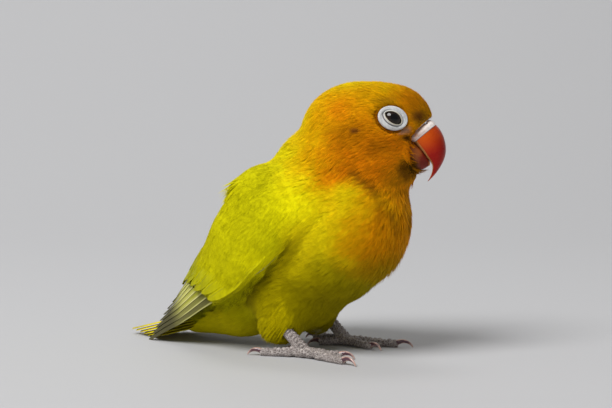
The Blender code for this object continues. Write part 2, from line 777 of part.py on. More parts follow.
def centre_on_floor(nodes, root):
    """Moves the bird so that the origin is on the floor, under the middle of its box."""
    points = [node.matrix_world @ Vector(corner) for node in nodes for corner in node.bound_box]
    low = [min(p[i] for p in points) for i in range(3)]
    high = [max(p[i] for p in points) for i in range(3)]
    root.location = (-(low[0] + high[0]) / 2, -(low[1] + high[1]) / 2, -low[2])


def main():
    clear_scene()
    nodes = []
    bill_nodes, cutters = bill()
    nodes += [(node, finish_of(node.name, look)) for node, look in
              zip(bill_nodes, (BILL_RED, LOWER_BILL_RED, CERE_WHITE))]
    ring_white, eye_brown = finish_of("eye_ring", RING_WHITE), finish_of("eye", EYE_BROWN)
    for side, label in ((1, "right"), (-1, "left")):
        ball, ring, seats = eye(side, label)
        nodes += [(ball, eye_brown), (ring, ring_white)]
        cutters += seats
    foot_grey, claw_horn = finish_of("foot", FOOT_GREY), finish_of("claw", CLAW_HORN)
    shank_cutters = {}
    for side, label in ((1, "right"), (-1, "left")):
        foot_node, claws, shank_cutters[label] = foot(side, label)
        nodes.append((foot_node, foot_grey))
        nodes += [(claw, claw_horn) for claw in claws]
    whole = flesh()
    sheet = WingSheet(whole)
    wing_right = wing(sheet, "wing_right")
    wing_left = mirror_of(wing_right, "wing_left")
    whole = coarser(whole, FLESH_TRIANGLES)
    flesh_nodes = part_flesh(whole, cutters, shank_cutters)
    flesh_nodes["tail"] = tail(flesh_nodes["tail"])
    plumage = {name: finish_of(f"{name}_plumage", look) for name, look in PLUMAGE.items()}
    for name, node in flesh_nodes.items():
        nodes.append((node, plumage[name.split("_")[0]]))
    nodes += [(wing_right, plumage["wing"]), (wing_left, plumage["wing"])]
    home = collection("lovebird")
    root = bpy.data.objects.new("lovebird_root", None)
    home.objects.link(root)
    bpy.context.view_layer.update()
    centre_on_floor([node for node, _ in nodes], root)
    for node, look in nodes:
        node.data.materials.clear()
        node.data.materials.append(look)
        bpy.context.scene.collection.objects.unlink(node)
        home.objects.link(node)
        node.parent = root
        node.data.shade_smooth()
        node.data.set_sharp_from_angle(angle=math.radians(40.0))


if __name__ == "__main__":
    main()
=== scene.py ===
"""Lovebird looks: skin, feathers, bill, eyes, feet and stage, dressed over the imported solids.

Sizes are in millimetres unless a name says otherwise, and MM turns them into metres as a mesh is
made. Two frames are used: the bird's own, in which it was modelled (BODY), and its head's (HEAD).
"""

import math
from contextlib import contextmanager
from itertools import pairwise, product

import bmesh
import bpy
import numpy as np
from bpy.props import FloatProperty, FloatVectorProperty, PointerProperty
from mathutils import Matrix, Vector, noise
from mathutils.bvhtree import BVHTree


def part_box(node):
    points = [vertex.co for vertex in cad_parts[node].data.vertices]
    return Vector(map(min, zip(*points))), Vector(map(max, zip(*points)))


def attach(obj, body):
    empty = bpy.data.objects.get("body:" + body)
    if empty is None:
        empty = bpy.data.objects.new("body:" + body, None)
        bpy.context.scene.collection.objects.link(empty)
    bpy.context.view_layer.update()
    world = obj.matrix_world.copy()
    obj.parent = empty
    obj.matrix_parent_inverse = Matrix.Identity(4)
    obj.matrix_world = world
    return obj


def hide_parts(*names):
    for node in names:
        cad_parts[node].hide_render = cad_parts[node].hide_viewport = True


bl_info = {
    "name": "Lovebird looks",
    "version": (1, 0, 0),
    "blender": (4, 5, 0),
    "location": "3D View > Sidebar > Lovebird",
    "description": "Skin, feathers, bill, eyes, feet and stage of a life-size eye-ring lovebird",
    "category": "Object",
}

MM = 0.001
WELD = 0.005  # corners closer than this become one

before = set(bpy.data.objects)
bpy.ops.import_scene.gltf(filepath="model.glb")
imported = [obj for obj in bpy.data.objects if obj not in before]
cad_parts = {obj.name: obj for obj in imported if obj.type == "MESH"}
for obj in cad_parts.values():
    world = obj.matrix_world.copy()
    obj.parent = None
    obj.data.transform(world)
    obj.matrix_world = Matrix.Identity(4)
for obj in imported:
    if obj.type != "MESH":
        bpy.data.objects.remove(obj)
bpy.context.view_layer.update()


def middle_of(node):
    """The middle of a CAD node's box, in millimetres."""
    low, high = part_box(node)
    return (low + high) / (2 * MM)


# The head's frame follows from the two eyes, and the bird's own frame from the head's.
EYES = {"right": middle_of("eye_right"), "left": middle_of("eye_left")}
EYES_FROM_HEAD = (8.0, 4.05, 7.45)  # forward, up and to the side
HEAD_FROM_BODY = Vector((16.1, 0.0, 68.8))
UP = Vector((0.0, 0.0, 1.0))
HEAD_LEFT = (EYES["left"] - EYES["right"]).normalized()
HEAD_FRONT = HEAD_LEFT.cross(UP)
HEAD_AT = (EYES["left"] + EYES["right"]) / 2 - HEAD_FRONT * EYES_FROM_HEAD[0] - UP * EYES_FROM_HEAD[1]
HEAD_AT.z = EYES["right"].z - EYES_FROM_HEAD[1]
BODY_AT = HEAD_AT - HEAD_FROM_BODY
HEAD = Matrix.Translation(HEAD_AT) @ Matrix((HEAD_FRONT, HEAD_LEFT, UP)).transposed().to_4x4()
BODY = Matrix.Translation(BODY_AT)

# Skin
FLESH_NODES = ("head", "neck", "torso", "thigh_left", "thigh_right")
SKIN_VOXEL = 0.75
TAIL_ROOT = ((-40.5, 0.0, 7.9), (12.0, 7.6, 6.0), 14.0)  # centre, radii, pitch in degrees
RUMP = ((-29.9, 0.0, 26.8), (18.0, 6.5, 9.8), 45.0)
SWELL = 0.3  # how far the copied nodes are swollen so that they meet, and shrunk back again
ROOT_DEPTH = 0.25  # how far the skin lies below the roots of the coat

# Where the coat changes from the body to the head, level above the neck's slope, and round the face
NECK_SLOPE = 0.36
NECK_LEVELS = (50.0, 64.0)
BY_BILL = (8.5, 17.0)  # the face's coat begins to change and ends this far from the bill's middle
BY_EYE = (4.0, 8.0)  # and from the eye
BILL_MIDDLE = (19.0, 0.0, -4.0)
EYE_MIDDLE = (10.2, 4.6)  # forward and up

# Lie of the small feathers
BILL_TIP = (24.0, 0.0, -2.0)  # they point away from here on the head
TAIL_END = (-72.0, 0.0, 2.0)  # and towards here on the body
TURN_AT = (14.0, 42.0)  # how far from the bill's tip the one changes to the other
DROOP = np.array((0.0, 0.0, -0.12))
WING_DROOP = np.array((0.0, 0.0, -0.3))
LEG_AT = (-7.0, 13.0, 7.0)  # round the legs they hang down
LEG_RADII = (9.0, 6.0, 8.0)
LEG_DROOP = np.array((0.1, 0.0, -1.3))
EYE_PUSH, EYE_REACH = 0.9, 6.0  # how strongly they point away from the eyes, and how far from them

# Wing sheet: t runs along the wing's axis towards the head, w round the body from the back's middle.
AXIS_AT = Vector((-8.0, 0.0, 36.0))
AXIS_PITCH = 45.0
ENVELOPE = (  # t, and the radii of the body's section towards the back and the sides
    (26.0, 15.0, 17.0),
    (10.0, 17.0, 18.5),
    (-9.0, 18.3, 19.5),
    (-29.0, 15.3, 16.0),
    (-45.0, 13.3, 12.4),
    (-62.0, 13.0, 11.0),
)
WING_LIFT = 0.75  # of the sheet over the body
WING_UPPER_EDGE = (
    (25.0, 20.5), (23.5, 16.4), (20.5, 12.8), (15.0, 9.2), (8.0, 6.6),
    (-6.0, 5.0), (-36.0, 4.4), (-50.0, 5.6), (-61.5, 7.0),
)
WING_LOWER_EDGE = (
    (25.0, 25.5), (23.5, 28.6), (20.5, 31.0), (15.0, 33.0), (8.0, 34.3),
    (-2.0, 35.5), (-9.0, 35.5), (-18.0, 32.7), (-28.0, 27.7), (-37.0, 21.8), (-45.0, 17.2),
    (-61.5, 9.6),
)
WING_ARM = (  # thickness of the wing's own flesh and of the quills' roots
    (25.0, 0.4), (23.5, 0.9), (20.5, 1.9), (15.0, 3.3), (8.0, 4.1), (1.0, 4.1), (-6.0, 3.7),
    (-14.0, 3.0), (-20.0, 2.2), (-30.0, 1.2),
)
WING_ARM_LIFT = 0.8  # of the flesh's thin edges over the sheet
WING_ARM_GRID = (32, 18)  # sections along the wing, and points across each

# Flight feathers of the right wing: how many, and where along the wing the roots and tips of the first
# and last lie. Then how far apart the primaries are at their roots and tips, and their lift; and at
# what share of the wing's width the first and the last secondary lie, and how wide they are.
PRIMARIES = {"count": 11, "root": 0.0, "tips": (-61.5, -39.0), "spacing": (2.6, 1.35), "lift": 1.0}
PRIMARY_TUCK = (  # how far the primaries are drawn in from the wing's lower edge
    (12.0, 0.3), (-6.0, 0.3), (-12.0, 1.3), (-18.0, 2.3), (-27.0, 2.4), (-38.0, 0.9), (-61.5, 0.0),
)
EDGE_ROOTS = (10.0, 6.0)  # the outermost primaries show along the wing's lower edge from here
SECONDARIES = {"count": 9, "root": -2.0, "tips": (-28.0, -40.0), "share": (0.86, 0.04), "wide": 0.72}
SECONDARY_LIFT = ((-2.0, 3.4), (-12.0, 3.6), (-20.0, 3.9), (-29.0, 3.3), (-42.0, 2.6))
COVERTS_TO = (-35.5, -24.5)  # how far back soft coverts are rooted, at the upper and the lower edge
VANE_THICKNESS = 0.14
VANE_STEPS = (*np.linspace(0.0, 0.86, 12), 0.90, 0.935, 0.962, 0.98, 0.993, 1.0)
VANE_COLUMNS = (-1.0, -0.72, -0.4, -0.08, 0.08, 0.4, 0.72, 1.0)
VANE_NOTCHES = (0.35, 0.97, 3)  # where its edges are worn, from and to along it, and at how many places
NOTCH_REACH, NOTCH_WIDTH = 0.02, 0.93  # how far a worn place reaches along, and the width that it leaves
SHAFT_RIDGE = 0.06
VANE_CAMBER = 0.10  # how far a vane's sides bend down, by its half-width

# Tail
TAIL = {"pairs": 6, "root": -43.0, "tip": -70.0, "step": 2.0, "slope": 0.275, "layer": 0.8,
        "floor": 0.42, "widths": (4.2, 1.0), "roof": 0.06}

# Eyes
SIDES = ((1, "right"), (-1, "left"))
EYE_RADIUS = 3.3
CORNEA = (0.22, 1.9)  # how far it bulges, and its radius
IRIS_RADIUS = 2.6
EYE_AZIMUTH = -70.0
EYE_RISE = 10.0
RING_RADII = (4.7, 3.7)
RING_TILT = -14.0
LID_SLIT = (2.8, 1.65)
LID_TILT = -33.0
LID_RIM_HEIGHT = 2.1
LID_PROFILE = (  # share of the way in, height over the lids' slope, drawn in towards the middle
    (0.0, -1.0, 0.35), (0.0, -0.5, 0.05), (0.02, -0.10, 0.0), (0.07, 0.14, 0.0), (0.14, 0.27, 0.0),
    (0.22, 0.34, 0.0), (0.30, 0.38, 0.0), (0.40, 0.38, 0.0), (0.50, 0.34, 0.0), (0.57, 0.24, 0.0),
    (0.63, 0.08, 0.0), (0.68, 0.04, 0.0), (0.73, 0.18, 0.0), (0.79, 0.30, 0.0), (0.86, 0.32, 0.0),
    (0.93, 0.24, 0.0), (0.98, 0.10, 0.0), (1.0, -0.05, 0.0), (1.0, -0.4, -0.1),
    (0.8, -1.2, 0.6), (0.3, -1.2, 0.6),
)

# Bill: inner edge and ridge as (forward, up) in the head's frame, and half-width.
UPPER_BILL = (
    ((14.9, -3.1), (21.2, 2.1), 5.2),
    ((16.0, -4.6), (22.7, 0.3), 5.1),
    ((17.3, -6.1), (23.8, -2.2), 4.8),
    ((18.4, -7.6), (24.3, -4.9), 4.2),
    ((19.6, -9.0), (24.1, -7.3), 3.3),
    ((20.2, -10.4), (23.3, -9.5), 2.4),
    ((20.1, -12.2), (21.8, -12.0), 1.4),
    ((19.5, -13.9), (20.3, -13.8), 0.7),
    ((18.8, -15.1), (19.0, -15.1), 0.2),
)
LOWER_BILL = (
    ((12.4, -2.2), (8.5, -11.0), 4.8),
    ((15.0, -3.2), (12.2, -12.2), 4.8),
    ((17.0, -5.2), (15.6, -12.0), 4.3),
    ((18.4, -7.2), (17.8, -11.3), 3.3),
    ((19.5, -9.1), (19.5, -10.2), 2.0),
)
CERE = (
    ((12.6, -2.2), (19.0, 3.5), 4.9),
    ((13.7, -2.6), (20.3, 3.2), 5.5),
    ((14.7, -3.0), (21.05, 2.4), 5.35),
)
NOSTRIL_AT = (18.2, -3.3, 2.6)
NOSTRIL_RADII = (0.6, 0.5, 0.45)
NOSTRIL_DEPTH = 0.75
CERE_SWELL = 0.16  # over each nostril

# Feet: where the right foot's toes meet, and its toes as (name, heading, toe length, claw length, pads).
FOOT_AT = (2.0, -13.0)
FOOT_HEADING = -4.0
TOES = (
    ("outer_front", -12.0, 17.0, 6.2, 4),
    ("inner_front", 20.0, 11.5, 5.4, 3),
    ("outer_rear", -160.0, 14.0, 5.4, 4),
    ("inner_rear", 155.0, 8.5, 4.6, 2),
)
TOE_RADII = (1.6, 1.2)
SOLE = 0.12
ANKLE = (-9.0, -0.6, 10.5)
SHANK_RADIUS = 1.85
SHANK_STEPS = 20
INSTEP_RADII = (2.6, 2.5, 1.75)
FOOT_VOXEL = 0.2
CLAW_SIDES = 16
SIDEWAYS = Vector((0.0, 1.0, 0.0))

# Camera: degrees round the bird and up, how far right of the bird's origin and over it the camera
# aims, and the width that it shows there.
CAMERA_AZIMUTH = 30.0
CAMERA_RISE = 5.0
AIM_RIGHT, AIM_UP = -4.34, 45.88
VIEW_WIDTH = 190.0
SENSOR = 36.0

# Light: place and aim of each softbox and its size, in metres, and the light from all around.
KEY_LIGHT = ((-0.25, -1.2, 1.6), (0.0, 0.0, 0.045), 1.1)
WALL_LIGHT = ((-0.35, 0.6, 1.9), (-0.8, 1.5, 0.3), 0.8)
AROUND, AROUND_POWER = (0.80, 0.80, 0.82, 1.0), 0.36

# Places where the form is fuller than the solids, on both sides: centre, radius and height.
FULLER = tuple(((x, side * y, z), radius, height) for side in (1, -1) for x, y, z, radius, height in (
    (-8.0, 11.0, 60.5, 6.5, 0.6), (-15.0, 13.5, 55.5, 6.5, 1.6), (-20.5, 16.5, 48.0, 6.5, 1.4),
    (-23.5, 18.0, 41.0, 6.5, 1.4), (-27.5, 17.5, 34.5, 6.5, 1.1), (-32.0, 16.0, 28.0, 6.0, 0.9),
))

# Places where the small feathers stand off the body: centre, radius and height.
RUFFLED = (
    ((-19.0, -16.0, 53.4), 2.8, 2.7),
    ((-3.0, 0.0, 69.0), 7.0, 0.5),
    ((1.5, 0.0, 76.0), 6.0, 0.35),
    ((30.0, -6.0, 40.0), 9.0, 0.35),
    ((30.5, 0.0, 48.5), 4.5, 1.1),
    ((27.0, 0.0, 32.0), 6.5, 1.0),
    ((22.0, 0.0, 26.0), 6.0, 0.6),
    ((-3.0, -17.0, 29.0), 5.5, 0.7),
    ((-3.0, 17.0, 29.0), 5.5, 0.7),
    ((-6.0, -15.0, 12.0), 7.0, 0.6),
    ((-6.0, 15.0, 12.0), 7.0, 0.6),
)

# Small feathers: how many fingers a tuft ends in, and its rows as (along, half-width, corners).
TUFTS = {
    "fine": (3, ((0.34, 0.9, 4),)),
    "silky": (4, ((0.22, 0.62, 3), (0.46, 1.0, 5))),
    "covert": (5, ((0.20, 0.62, 3), (0.42, 1.0, 6))),
}
CAMBER = {"fine": 0.12, "silky": 0.02, "covert": 0.02}  # how far its sides bend down, by its half-width
UNEVEN = {"fine": 0.075, "silky": 0.022, "covert": 0.015}  # how far tufts differ in height at their tips
TONES = {"fine": 0.85, "silky": 0.35, "covert": 0.25}  # how far tufts differ in tone
TUFT_SIZES = (0.85, 1.15)  # smallest and largest, by their usual size
FINGER_LENGTHS = (-0.16, 0.10)  # how far fingers end before or past the tuft's length, by that length
FINGER_SWAY = 0.10  # how far fingers swing aside, by the tuft's half-width
CLUMPING = (0.7, 1.6, 0.16)  # how far tufts swing alone and in clumps, and the clumps' scale
TUFT_THICKNESS = 0.07  # at the root
ROUND_TIP = 0.3  # how far a tuft's outer fingers end before its middle, by its length
TRIES = 4.5  # roots tried for a place as wide as the spacing
BAKE_PATCH = 0.003  # length of a tuft's patch in the map that colours are baked to
FOLD_SHADE = 4.8  # how much darker feathers are painted under the wing's edge, as its shade

# Tufts on the body, the head and the face, and coverts at the bend of the wing and behind
COAT_DEPTHS = (0.65, 0.35)  # on the head and the face
SPACINGS = (0.60, 0.40, 0.31)
HALF_WIDTHS = (0.58, 0.36, 0.24)
COVERT_SPACINGS = (0.60, 0.71)
COVERT_LENGTHS = (5.5, 9.0)
COVERT_HALF_WIDTHS = (0.56, 0.72)
BRISTLE_HALF_WIDTH = 0.15

NECK_FROM = 0.12  # share of the head's coat at which the neck's begins
COAT_SEAMS = (4.0, -14.0)  # where the breast's coat ends, and the side's
PLUME_AT, PLUME_RADII = (-0.5, 15.5, 17.0), (1.7, 4.0, 3.4)  # roots of the thigh's long feathers
FOLD_WIDTHS, FOLD_TURN = (5.6, 1.5), (-8.0, 4.0)  # of the shade under the wing, and where they change
FOLD_FRONT, FOLD_BACK = (13.0, 8.0), (-36.0, -24.0)  # where that shade begins and ends along the wing
# Width and strength of the painted shade along that seam
SEAM_WIDTH, SEAM_SHADE = 0.7, 0.5
SEAM = ((-6.0, 19.0, 55.3), (-19.5, 19.5, 44.0))  # where the shoulder's feathers end on the wing, with a line of painted shade along it
RIM = 0.4  # a tuft that is further than this from the form has left its edge, and lies on the bill

# Painted shade along the fold under the cheek, from its hind end to the throat: centres and strength of its
# patches
CHEEK_FOLD_RADII = (1.8, 3.2, 1.9)
CHEEK_FOLD_SHADE = (
    ((19.6, 11.2, 58.0), 0.5), ((20.9, 10.6, 56.7), 0.55), ((22.6, 10.0, 55.3), 0.6),
    ((24.4, 8.9, 53.9), 0.65), ((26.0, 7.9, 52.3), 0.65), ((27.4, 7.3, 50.2), 0.55),
)

# Tints of highlights, and small stains, marks and painted shade in hollows that aren't worth a setting of
# their own
FEATHER_GLOSS = (1.0, 0.75, 0.0)
BILL_GLOSS = (1.0, 0.42, 0.30)
PUPIL = (0.002, 0.002, 0.002)
EYE_RIM = (0.012, 0.008, 0.006)
# painted shade in the eye ring's groove
LID_GROOVE_SHADE = (0.09, 0.065, 0.06)
LID_EDGE = (0.03, 0.02, 0.018)
BILL_STAIN = (0.34, 0.10, 0.02)
BILL_UNDERSIDE_DARK = (0.07, 0.02, 0.012)
CERE_EDGE = (0.34, 0.15, 0.06)
CERE_FOOT = (0.55, 0.32, 0.24)
# painted shade inside the nostrils' hollows
NOSTRIL = (0.05, 0.02, 0.015)

# Bristles: name, the ellipsoid where they are rooted, spacing, length, seed, what they lie on, lie,
# height and tone.
BRISTLES = (
    ("gape", (12.4, 0.0, -4.8), (3.2, 11.0, 4.2), 0.30, 3.0, 15, "horn_lower", (0.9, 0.0, -0.4), 0.25, 0.8),
    ("chin", (12.0, 0.0, -9.8), (3.0, 11.0, 3.6), 0.42, 3.2, 13, "horn_lower", (0.95, 0.0, -0.2), 0.25,
     -5.8),
    ("beard", (14.0, 0.0, -12.0), (3.4, 5.0, 3.0), 0.42, 4.6, 16, "horn_lower", (0.8, 0.0, -0.6), 0.7,
     -0.8),
)
MOUTH = (10.0, 0.0, -5.0)  # tufts look for the horn away from here

FORMS = {}  # surfaces, tests and the material that later operators need from earlier ones


# ---------------------------------------------------------------- settings


def colour_of(name, value, description):
    return FloatVectorProperty(name=name, description=description, subtype="COLOR", size=3,
                               min=0.0, max=1.0, default=value)


def size_of(name, value, description, unit="NONE"):
    return FloatProperty(name=name, description=description, default=value, min=0.0, precision=2, unit=unit)


def toned(colour, factor):
    return tuple(channel * factor for channel in colour)


class LovebirdPlumage(bpy.types.PropertyGroup):
    """Colours of the feathers and sizes of the small ones, in millimetres."""

    mantle: colour_of("Mantle", (0.78, 0.63, 0.004), "Upper back and sides of the body")
    # The shoulder colour is the wing's own bright yellow at its bend, and partly painted light on its lower
    # edge, which faces down
    shoulder: colour_of("Shoulder", (0.93, 0.86, 0.004), "Bend and lower edge of the wing")
    wing: colour_of("Wing", (0.58, 0.54, 0.003), "Wing coverts and rump")
    hand: colour_of("Hand", (0.31, 0.315, 0.002), "Coverts of the wing's hind part")
    crown: colour_of("Crown", (0.74, 0.388, 0.002), "Crown and back of the head")
    face: colour_of("Face", (0.80, 0.26, 0.003), "Cheeks and sides of the neck")
    ear: colour_of("Ear", (0.52, 0.18, 0.002), "Feathers over the ear")
    forehead: colour_of("Forehead", (0.55, 0.19, 0.002), "Forehead")
    lores: colour_of("Lores", (0.42, 0.25, 0.20), "Thin feathers between the eye and the bill")
    throat: colour_of("Throat", (0.80, 0.32, 0.006), "Throat")
    breast: colour_of("Breast", (0.77, 0.315, 0.002), "Upper breast")
    # The belly and keel colours are the underside's own olive-yellow, darkened partly as painted shade
    belly: colour_of("Belly", (0.35, 0.285, 0.001), "Flanks and thighs")
    keel: colour_of("Keel", (0.215, 0.168, 0.001), "Lower breast and the belly's middle")
    vent: colour_of("Vent", (0.53, 0.46, 0.002), "Under the tail")
    chin: colour_of("Chin", (0.065, 0.016, 0.004), "Dark bristles under the bill")
    smudge: colour_of("Smudge", (0.08, 0.010, 0.012), "Dark feathers before and behind the eye")
    # The crease colour is painted shade in the folds between the throat and the breast; it also tints the
    # cheeks
    crease: colour_of("Crease", (0.42, 0.13, 0.002), "Folds between the throat and the breast")
    down: colour_of("Down", (0.70, 0.68, 0.50), "Down at the top of the legs")
    pale: colour_of("Pale", (0.66, 0.64, 0.26), "Edges of the longest flight feathers")
    grey: colour_of("Grey", (0.06, 0.058, 0.032), "Webs and tips of the longest flight feathers")
    face_feather: size_of("Face feather", 1.7, "Length of the feathers round the bill")
    head_feather: size_of("Head feather", 3.1, "Length of the feathers of the crown and cheeks")
    body_feather: size_of("Body feather", 6.2, "Length of the feathers of the body")
    coat_depth: size_of("Coat depth", 0.9, "Depth of the coat over the skin of the body")


class LovebirdBill(bpy.types.PropertyGroup):
    """Colours of the bill and the cere."""

    red: colour_of("Red", (0.38, 0.005, 0.003), "Ridge and front of the upper bill")
    orange: colour_of("Orange", (0.60, 0.088, 0.004), "Base and tip of the upper bill")
    edge: colour_of("Edge", (0.62, 0.30, 0.10), "Cutting edge")
    lower: colour_of("Lower bill", (0.24, 0.020, 0.010), "Lower bill")
    cere: colour_of("Cere", (0.93, 0.84, 0.78), "Bare skin over the bill")


class LovebirdEye(bpy.types.PropertyGroup):
    """Colours of the eyes and the bare rings round them."""

    iris: colour_of("Iris", (0.009, 0.005, 0.003), "Iris")
    ring: colour_of("Ring", (0.70, 0.71, 0.70), "Bare ring")
    lid: colour_of("Lid", (0.62, 0.56, 0.42), "Inner rim of the lids")


class LovebirdFeet(bpy.types.PropertyGroup):
    """Colours of the feet and claws."""

    skin: colour_of("Skin", (0.27, 0.225, 0.21), "Scales of the toes")
    crease: colour_of("Crease", (0.64, 0.58, 0.54), "Edges of the scales")
    claw: colour_of("Claw", (0.085, 0.032, 0.045), "Dark core of the claws")
    claw_edge: colour_of("Claw edge", (0.55, 0.36, 0.30), "Edges and tips of the claws")


class LovebirdStage(bpy.types.PropertyGroup):
    """Floor, light and camera."""

    floor: colour_of("Floor", (0.47, 0.47, 0.475), "Floor")
    key: size_of("Key light", 43.0, "Power of the softbox overhead", "POWER")
    wall: size_of("Wall light", 8.0, "Power of the light on the backdrop", "POWER")
    lens: size_of("Lens", 100.0, "Focal length of the camera", "CAMERA")


# ---------------------------------------------------------------- mesh helpers


def deselect():
    if bpy.context.mode != "OBJECT":
        bpy.ops.object.mode_set(mode="OBJECT")
    bpy.ops.object.select_all(action="DESELECT")


def pick(*objects):
    """Selects these objects alone, the first of them active."""
    deselect()
    for obj in objects:
        obj.select_set(True)
    bpy.context.view_layer.objects.active = objects[0]


def object_of(name, mesh):
    obj = bpy.data.objects.new(name, mesh)
    bpy.context.scene.collection.objects.link(obj)
    return obj


def mesh_object(name, points, faces):
    """An object from points in millimetres and an array of faces with the same count of corners."""
    mesh = bpy.data.meshes.new(name)
    mesh.vertices.add(len(points))
    mesh.vertices.foreach_set("co", (np.asarray(points, np.float32) * MM).ravel())
    mesh.loops.add(faces.size)
    mesh.loops.foreach_set("vertex_index", faces.ravel().astype(np.int32))
    mesh.polygons.add(len(faces))
    mesh.polygons.foreach_set("loop_start", np.arange(len(faces), dtype=np.int32) * faces.shape[1])
    mesh.update(calc_edges=True)
    mesh.validate()
    return object_of(name, mesh)


def read(items, field, width, kind=np.float32):
    """One field of a mesh's items as an array, with a row for each item."""
    values = np.empty(len(items) * width, kind)
    items.foreach_get(field, values)
    return values.reshape(-1, width)


def corners_of(obj):
    """An object's points in millimetres, as an array."""
    return read(obj.data.vertices, "co", 3) / MM


def normals_of(obj):
    return read(obj.data.vertex_normals, "vector", 3)


def move_corners(obj, points):
    obj.data.vertices.foreach_set("co", (np.asarray(points, np.float32) * MM).ravel())
    obj.data.update()


def modified(obj, kind, **settings):
    """Adds a modifier, sets it and applies it."""
    modifier = obj.modifiers.new(kind.lower(), kind)
    for key, value in settings.items():
        setattr(modifier, key, value)
    pick(obj)
    bpy.ops.object.modifier_apply(modifier=modifier.name)


@contextmanager
def editing(obj):
    """Edit mode with the whole mesh selected."""
    pick(obj)
    bpy.ops.object.mode_set(mode="EDIT")
    bpy.ops.mesh.select_all(action="SELECT")
    yield
    bpy.ops.object.mode_set(mode="OBJECT")


def clean(obj, smooth=40.0):
    """Welds a mesh, points its faces outwards and smooths it up to an angle."""
    with editing(obj):
        bpy.ops.mesh.remove_doubles(threshold=WELD * MM)
        bpy.ops.mesh.normals_make_consistent(inside=False)
    bpy.ops.object.shade_smooth_by_angle(angle=math.radians(smooth))


def joined(name, objects):
    pick(*objects)
    bpy.ops.object.join()
    objects[0].name = name
    objects[0].data.name = name
    return objects[0]


def tree_of(obj):
    """A search tree of an object's surface, in millimetres."""
    obj.data.calc_loop_triangles()
    points = [Vector(p) for p in corners_of(obj)]
    faces = [tuple(t.vertices) for t in obj.data.loop_triangles]
    return BVHTree.FromPolygons(points, faces)


def add_ellipsoid(name, centre, radii, pitch=0.0, matrix=BODY, segments=32, rings=18):
    deselect()
    bpy.ops.mesh.primitive_uv_sphere_add(segments=segments, ring_count=rings, radius=MM)
    ball = bpy.context.object
    ball.name = name
    place = matrix @ Matrix.Translation(centre) @ Matrix.Rotation(math.radians(-pitch), 4, "Y")
    place.translation *= MM
    ball.data.transform(place @ Matrix.Diagonal((*radii, 1.0)))
    return ball


def bridged(name, rings, matrix=None, ends="faces"):
    """A skin through rings of points; ends are closed by faces, or joined to each other in a loop."""
    shape = bmesh.new()
    loops = []
    for ring in rings:
        points = [Vector(point) if matrix is None else matrix @ Vector(point) for point in ring]
        loops.append([shape.verts.new(point * MM) for point in points])
    following = loops[1:] + loops[:1] if ends == "loop" else loops[1:]
    for near, far in zip(loops, following):
        for j, k in zip(range(len(near)), (*range(1, len(near)), 0)):
            shape.faces.new((near[j], near[k], far[k], far[j]))
    if ends == "faces":
        shape.faces.new(loops[0])
        shape.faces.new(loops[-1][::-1])
    bmesh.ops.recalc_face_normals(shape, faces=shape.faces)
    mesh = bpy.data.meshes.new(name)
    shape.to_mesh(mesh)
    shape.free()
    return object_of(name, mesh)


def set_values(obj, name, kind, values):
    """Stores values on an object's corners, or on its points."""
    attribute = obj.data.attributes.new(name, kind, "POINT")
    field = {"FLOAT_VECTOR": "vector", "FLOAT": "value"}[kind]
    attribute.data.foreach_set(field, np.asarray(values, np.float32).ravel())


def finish(piece, material, slot, *nodes):
    """Gives a piece its material, in place of any CAD nodes that it stands for; the slot is not used."""
    piece.data.materials.append(material)
    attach(piece, "root")
    if nodes:
        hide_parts(*nodes)


def smoothstep(low, high, value):
    share = np.clip((value - low) / (high - low), 0.0, 1.0)
    return share * share * (3.0 - 2.0 * share)


def blend_of(low, high, share):
    return low + (high - low) * share


def between(table, at):
    """Values read from a table of rows, in a straight line between its rows."""
    rows = sorted(table)
    at = min(max(at, rows[0][0]), rows[-1][0])
    low, high = next((low, high) for low, high in pairwise(rows) if at <= high[0])
    share = (at - low[0]) / (high[0] - low[0])
    return [a + (b - a) * share for a, b in zip(low[1:], high[1:])]


def unit(vectors):
    return vectors / np.maximum(np.linalg.norm(vectors, axis=-1, keepdims=True), 1e-9)


# ---------------------------------------------------------------- materials


